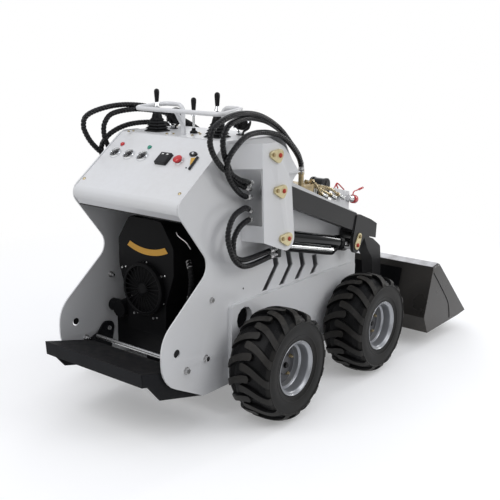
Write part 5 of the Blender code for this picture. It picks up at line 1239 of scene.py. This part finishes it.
for route in PLATE_STRAPS:
    add_tube(bm, route_points([Vector(p) for p in route], 0.005), 0.0032, 10)
piece("red_dust_caps", bm, red_mat, "chassis", 45)

# Small pressings and seams: a thin black tube under the console's lower edge, painted shadow under its
# overhang, bungs and drilled holes in the side plates, the holes drawn as black discs of painted shade, a weld
# where the rear lobe's doubler ends, and a black strip between each arm's beam and its knee, painted shade of
# the step there.
SHADOW_LINE_X = -0.338
SHADOW_LINE_Z = 0.8480
SHADOW_LINE_PLACES = (-0.278, -0.1, 0.1, 0.278)
SHADOW_LINE_RADIUS = 0.0026
BUNG_X = -0.378
BUNG_Z = 0.355
BUNG_RADIUS = 0.0140
# Drilled holes: along, up, radius.
SIDE_HOLES = ((0.014, 0.520, 0.0040), (0.081, 0.429, 0.0038), (-0.024, 0.430, 0.0036))
bm = bmesh.new()
# A thin black tube under the console's lower edge: painted shadow under its overhang.
shadow_line = [Vector((SHADOW_LINE_X, y, SHADOW_LINE_Z)) for y in SHADOW_LINE_PLACES]
add_tube(bm, route_points(shadow_line, 0.02), SHADOW_LINE_RADIUS, 12)
for side, sign in SIDES:
    bung = Vector((BUNG_X, sign * (BODY_HALF - 0.005), BUNG_Z))
    add_rod(bm, bung, bung + Vector((0, sign * 0.0025, 0)), BUNG_RADIUS, 32)
# Black discs on the side plates stand for drilled holes: painted shade of their insides.
for side, sign in SIDES:
    for x, z, radius in SIDE_HOLES:
        add_rod(bm, (x, sign * (BODY_HALF - 0.0005), z), (x, sign * (BODY_HALF + 0.0004), z), radius, 24)
piece("console_shadow_line_bungs_and_holes", bm, plastic_mat, "chassis", 40)
# Weld of the lobe: along, up.
LOBE_SEAM = ((-0.138, 0.491), (-0.166, 0.466), (-0.197, 0.433), (-0.216, 0.396), (-0.230, 0.353),
             (-0.247, 0.280), (-0.259, 0.213), (-0.272, 0.196), (-0.300, 0.189))
LOBE_SEAM_RADIUS = 0.0015
bm = bmesh.new()
for side, sign in SIDES:
    seam = [Vector((x, sign * (BODY_HALF - 0.0010), z)) for x, z in LOBE_SEAM]
    add_tube(bm, route_points(seam, 0.006), LOBE_SEAM_RADIUS, 10)
piece("lobe_seams", bm, white_mat, "chassis", 50)
# A black strip where each arm's beam meets its knee: painted shade of the rear-facing step between the plates.
KNEE_SHADE = ((0.7420, 0.722), (0.7175, 0.642))
KNEE_SHADE_OUT = 0.3702
KNEE_SHADE_HALF = 0.0080
KNEE_SHADE_PROUD = 0.0012
BOX_FACES = ((0, 1, 2, 3), (7, 6, 5, 4), (0, 4, 5, 1), (1, 5, 6, 2), (2, 6, 7, 3), (3, 7, 4, 0))
bm = bmesh.new()
for side, sign in SIDES:
    upper, lower = [Vector((x, sign * KNEE_SHADE_OUT, z)) for x, z in KNEE_SHADE]
    half = Vector((KNEE_SHADE_HALF, 0, 0))
    low = [upper - half, upper + half, lower + half, lower - half]
    high = [v + Vector((0, sign * KNEE_SHADE_PROUD, 0)) for v in low]
    add_mesh(bm, low + high, BOX_FACES)
piece("knee_step_shade", bm, black_mat, "arms", 30)

# Bucket's sides and rim: a plate welded to each side shows as a long fold, with a dark seam along its rear
# edge. The coat is worn to bare steel along the top rim.
BUCKET_SIDE = 0.560
# Outline of the fold: along, up; its slope runs in towards the middle.
FOLD = ((1.256, 0.4175), (1.606, 0.0915), (1.474, 0.0850), (1.412, 0.096), (1.404, 0.140), (1.377, 0.198),
        (1.290, 0.290), (1.196, 0.384), (1.200, 0.412))
FOLD_MIDDLE = Vector((1.40, 0.22))
FOLD_SLOPE = 0.0025
FOLD_PROUD = 0.0014
SEAM_PROUD = 0.0004
SEAM_RADIUS = 0.0022
bm = bmesh.new()
for side, sign in SIDES:
    low = [bm.verts.new((x, sign * (BUCKET_SIDE - 0.0005), z)) for x, z in FOLD]
    high = []
    for x, z in FOLD:
        inward = (FOLD_MIDDLE - Vector((x, z))).normalized() * FOLD_SLOPE
        high.append(bm.verts.new((x + inward.x, sign * (BUCKET_SIDE + FOLD_PROUD), z + inward.y)))
    bm.faces.new(low)
    bm.faces.new(list(reversed(high)))
    for i in range(len(FOLD)):
        j = (i + 1) % len(FOLD)
        bm.faces.new((low[i], low[j], high[j], high[i]))
piece("bucket_side_plates", bm, bucket_mat, "bucket", 30)
bm = bmesh.new()
for side, sign in SIDES:
    seam = [Vector((x, sign * (BUCKET_SIDE + SEAM_PROUD), z)) for x, z in FOLD[3:8]]
    add_tube(bm, route_points(seam, 0.006), SEAM_RADIUS, 8)
piece("bucket_seams", bm, black_mat, "bucket", 50)
RIM_REAR = Vector((1.1905, 0, 0.4142))
RIM_FRONT = Vector((1.2530, 0, 0.4222))
RIM_HALF = 0.552
WEAR_LOW = 0.0004
WEAR_HIGH = 0.0014
bare_mat = finish_material("worn_bare_steel", "bright_steel", (0.56, 0.56, 0.57), 0.42, 0.4,
                           stain=(0.20, 0.19, 0.18), stain_amount=0.8, stain_scale=14.0, spread=0.3,
                           grain=500.0, height=0.0001)
bm = bmesh.new()
strip = ((RIM_REAR, WEAR_LOW), (RIM_FRONT, WEAR_LOW), (RIM_FRONT, WEAR_HIGH), (RIM_REAR, WEAR_HIGH))
verts = [point + Vector((0, y, lift)) for y in (-RIM_HALF, RIM_HALF) for point, lift in strip]
add_mesh(bm, verts, BOX_FACES)
piece("bucket_rim_wear", bm, bare_mat, "bucket", 30)

# Wheels: rubber tyres with long curved lugs that run from beyond the middle of the tread over the shoulder to
# a ring on the sidewall. The pressed steel rims are silver, with a stepped well and five zinc plated bolts.
REAR_AXLE = 0.0465
WHEELBASE = 0.678
WHEEL_RADIUS = 0.2285
TRACK_HALF = 0.449
LUG_COUNT = 16
LUG_SLANT = 0.054
LUG_START = -0.024
LUG_REACH = 0.0995
RIB_COUNT = 6
TREAD_HALF = ((0.2135, 0), (0.2120, 0.030), (0.2082, 0.056))
SIDEWALL_HALF = ((0.1965, 0.0915), (0.1925, 0.0960), (0.1907, 0.1008), (0.1887, 0.1018), (0.1867, 0.1008),
                 (0.1850, 0.0985), (0.1815, 0.0982), (0.1720, 0.0994), (0.1600, 0.1000), (0.1480, 0.0992),
                 (0.1380, 0.0975), (0.1370, 0.0980), (0.1355, 0.0980), (0.1345, 0.0968), (0.1240, 0.0938),
                 (0.1200, 0.0930), (0.1190, 0.0938), (0.1165, 0.0938), (0.1150, 0.0925), (0.1140, 0.0880),
                 (0.1060, 0.0780), (0.1018, 0.0720))
# Columns: across the tread and radius of the top, the same of the root, half width of the top.
LUG_STATIONS = (
    (-0.0240, 0.2270, -0.0240, 0.206, 0.0048), (-0.0230, 0.2278, -0.0230, 0.206, 0.0090),
    (-0.0207, 0.2283, -0.0207, 0.206, 0.0125), (-0.0168, 0.2285, -0.0168, 0.206, 0.0148),
    (-0.0110, 0.2285, -0.0110, 0.206, 0.0156), (0.0040, 0.2284, 0.0040, 0.206, 0.0154),
    (0.0220, 0.2278, 0.0220, 0.205, 0.0152), (0.0400, 0.2264, 0.0400, 0.203, 0.0152),
    (0.0560, 0.2240, 0.0540, 0.200, 0.0154), (0.0700, 0.2203, 0.0640, 0.198, 0.0158),
    (0.0820, 0.2152, 0.0720, 0.195, 0.0164), (0.0905, 0.2098, 0.0780, 0.192, 0.0170),
    (0.0962, 0.2040, 0.0810, 0.190, 0.0176), (0.0990, 0.1980, 0.0830, 0.188, 0.0182),
    (0.1000, 0.1930, 0.0840, 0.186, 0.0188), (0.1000, 0.1880, 0.0850, 0.185, 0.0194))
RIM_ROWS = (
    (0, 0.0360), (0.0340, 0.0360), (0.0362, 0.0350), (0.0372, 0.0332), (0.0440, 0.0212),
    (0.0478, 0.0186), (0.0520, 0.0180), (0.0800, 0.0180), (0.0835, 0.0190), (0.0852, 0.0222),
    (0.0856, 0.0360), (0.0870, 0.0405), (0.0900, 0.0425), (0.0935, 0.0436), (0.0960, 0.0464),
    (0.0968, 0.0520), (0.0970, 0.0780), (0.0982, 0.0825), (0.1012, 0.0855), (0.1055, 0.0878),
    (0.1082, 0.0902), (0.1098, 0.0925), (0.1116, 0.0931), (0.1130, 0.0920), (0.1128, 0.0892),
    (0.1098, 0.0866), (0.1040, 0.0850), (0.1015, 0.0838), (0.1015, -0.0838), (0.1098, -0.0866),
    (0.1128, -0.0892), (0.1130, -0.0920), (0.1090, -0.0925), (0.0975, -0.0820), (0.0960, -0.0460),
    (0.0856, -0.0400), (0.0856, 0.0080), (0.0460, 0.0080), (0.0460, -0.0180), (0.0245, -0.0180),
    (0.0245, -0.1544), (0, -0.1544))
HUB_BOLTS = 5
HUB_BOLT_CIRCLE = 0.0605
HUB_FACE = 0.018
HUB_CAP_FACE = 0.036
HUB_BOLT_WIDTH = 0.0088
HUB_BOLT_HEIGHT = 0.008


def tyre_profile():
    """Half of the carcass with its ribs, then the other half mirrored; outer side first."""
    half = list(TREAD_HALF)
    for i in range(RIB_COUNT):
        h = 0.060 + 0.0048 * i
        r = 0.2072 - 0.0072 * (i / (RIB_COUNT - 1)) ** 1.3
        half += [(r - 0.0007, h), (r + 0.0006, h + 0.0010)]
        half += [(r + 0.0006, h + 0.0024), (r - 0.0007, h + 0.0034)]
    half += SIDEWALL_HALF
    return [(r, h) for r, h in reversed(half)] + [(r, -h) for r, h in half[1:]]


def add_lug(bm, index, row):
    """One curved lug from beyond the middle of the tread to the sidewall's ring."""
    rings = []
    for top_y, top_r, root_y, root_r, half in LUG_STATIONS:
        share = (top_y - LUG_START) / (LUG_REACH - LUG_START)
        bend = -0.004 + (LUG_SLANT + 0.004) * max(share, 0) ** 2.1
        base = 2 * pi * (index + (0.5 if row > 0 else 0)) / LUG_COUNT
        ring = []
        for y, r, offset in ((root_y, root_r, -half - 0.0022), (top_y, top_r, -half), (top_y, top_r, 0),
                             (top_y, top_r, half), (root_y, root_r, half + 0.0022)):
            angle = base + (bend + offset) / WHEEL_RADIUS
            ring.append(bm.verts.new((r * cos(angle), r * sin(angle), y * row)))
        rings.append(ring)
    bm.faces.new(rings[0])
    bm.faces.new(list(reversed(rings[-1])))
    for a, b in zip(rings, rings[1:]):
        for i in range(4):
            face = bm.faces.new((a[i], b[i], b[i + 1], a[i + 1]))
            # Tops of a lug get the lighter rubber, a painted highlight; its flanks get the darker rubber,
            # painted shade.
            face.material_index = 1 if i in (1, 2) else 2
        bm.faces.new((a[4], b[4], b[0], a[0]))


rubber_mat = finish_material("tyre_compound", "tyre_rubber", (0.0065, 0.0063, 0.0060), 0.48, spread=0.25,
                             grain=520.0, height=0.00010, stain=(0.020, 0.018, 0.015), stain_amount=0.6,
                             stain_scale=9.0, dust=0.04, low=0.06, specular=0.20)
rim_mat = finish_material("silver_rim_coat", "silver_rim_paint", (0.38, 0.39, 0.41), 0.30, 0.60, spread=0.2,
                          grain=420.0, height=0.00004, dust=0.08, low=0.1)
# The lug tops' lighter rubber is a painted highlight on the raised tops, with dust on them; the darker rubber
# below is painted shade in the grooves and on the lugs' flanks.
lit_lug_mat = finish_material("lit_dusty_lug_tops", "tyre_rubber", (0.0150, 0.0142, 0.0130), 0.52, spread=0.25,
                          grain=520.0, height=0.00010, stain=(0.028, 0.025, 0.021), stain_amount=0.6,
                          stain_scale=9.0, dust=0.06, low=0.06, specular=0.26)
shaded_groove_mat = finish_material("groove_painted_shade", "tyre_rubber", (0.0035, 0.0035, 0.0038), 0.46, spread=0.2,
                             grain=520.0, height=0.00008, specular=0.16)
SHADED_TREAD_HALF = 0.088
# A darker copy of the rim's silver coat for the disc deep in the well: painted shade.
disc_shade_mat = finish_material("rim_disc_painted_shade", "silver_rim_paint", (0.10, 0.10, 0.105), 0.42, 0.6, spread=0.2,
                           grain=420.0, height=0.00004, dust=0.10, low=0.1)
SHADED_DISC_RADIUS = 0.084
tyre_bm = bmesh.new()
add_lathe(tyre_bm, tyre_profile(), Matrix.Identity(4), 144)
# Tread faces between the lugs get the darker rubber: painted shade in the grooves.
for face in tyre_bm.faces:
    face.material_index = 2 if abs(face.calc_center_median().z) < SHADED_TREAD_HALF else 0
for row in (-1, 1):
    for index in range(LUG_COUNT):
        add_lug(tyre_bm, index, row)
tyre_mesh = bpy.data.meshes.new("tyre_pattern")
tyre_bm.to_mesh(tyre_mesh)
tyre_bm.free()
for end, axle in (("rear", REAR_AXLE), ("front", REAR_AXLE + WHEELBASE)):
    for side, sign in SIDES:
        tag = "_%s_%s" % (end, side)
        body = frame["nodes"]["tyre" + tag]["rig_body"]
        place = Matrix.Translation((axle, sign * TRACK_HALF, WHEEL_RADIUS))
        place = place @ Matrix.Rotation(-sign * pi / 2, 4, "X")
        bm = bmesh.new()
        bm.from_mesh(tyre_mesh)
        if sign > 0:
            bmesh.ops.scale(bm, vec=(1, -1, 1), verts=bm.verts)
        bmesh.ops.transform(bm, matrix=place, verts=bm.verts)
        tyre = piece("tyre_tread" + tag, bm, rubber_mat, body, 38, 0.0022, 2)
        tyre.data.materials.append(lit_lug_mat)
        tyre.data.materials.append(shaded_groove_mat)
        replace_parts(tyre, "tyre" + tag)
        bm = bmesh.new()
        add_lathe(bm, RIM_ROWS, place, 112)
        rim = piece("rim_steel" + tag, bm, rim_mat, body, 32)
        rim.data.materials.append(disc_shade_mat)
        middle = place.translation + DATUM
        # Faces near the hub take the darker copy of the coat: painted shade of the disc.
        for face in rim.data.polygons:
            arm = face.center - middle
            if hypot(arm.x, arm.z) < SHADED_DISC_RADIUS:
                face.material_index = 1
        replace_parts(rim, "rim" + tag)
        bm = bmesh.new()
        for i in range(HUB_BOLTS):
            turn = place @ Matrix.Rotation(2 * pi * (i + 0.25) / HUB_BOLTS, 4, "Z")
            foot = turn @ Vector((HUB_BOLT_CIRCLE, 0, HUB_FACE))
            out = turn.to_3x3() @ Vector((0, 0, 1))
            add_hex(bm, foot, out, HUB_BOLT_WIDTH, HUB_BOLT_HEIGHT)
            add_rod(bm, foot + out * HUB_BOLT_HEIGHT, foot + out * 0.014, 0.0046, 16, 0.0008)
        piece("wheel_bolts" + tag, bm, zinc_mat, body, 30)
        bm = bmesh.new()
        nut = place @ Vector((0, 0, HUB_CAP_FACE))
        add_hex(bm, nut, place.to_3x3() @ Vector((0, 0, 1)), 0.0130, 0.008)
        stem = place @ Matrix.Rotation(1.9, 4, "Z")
        add_rod(bm, stem @ Vector((0.0925, 0, 0.043)), stem @ Vector((0.0890, 0, 0.068)), 0.0035, 12, 0.0006)
        piece("valve_stem" + tag, bm, boot_mat, body, 40)
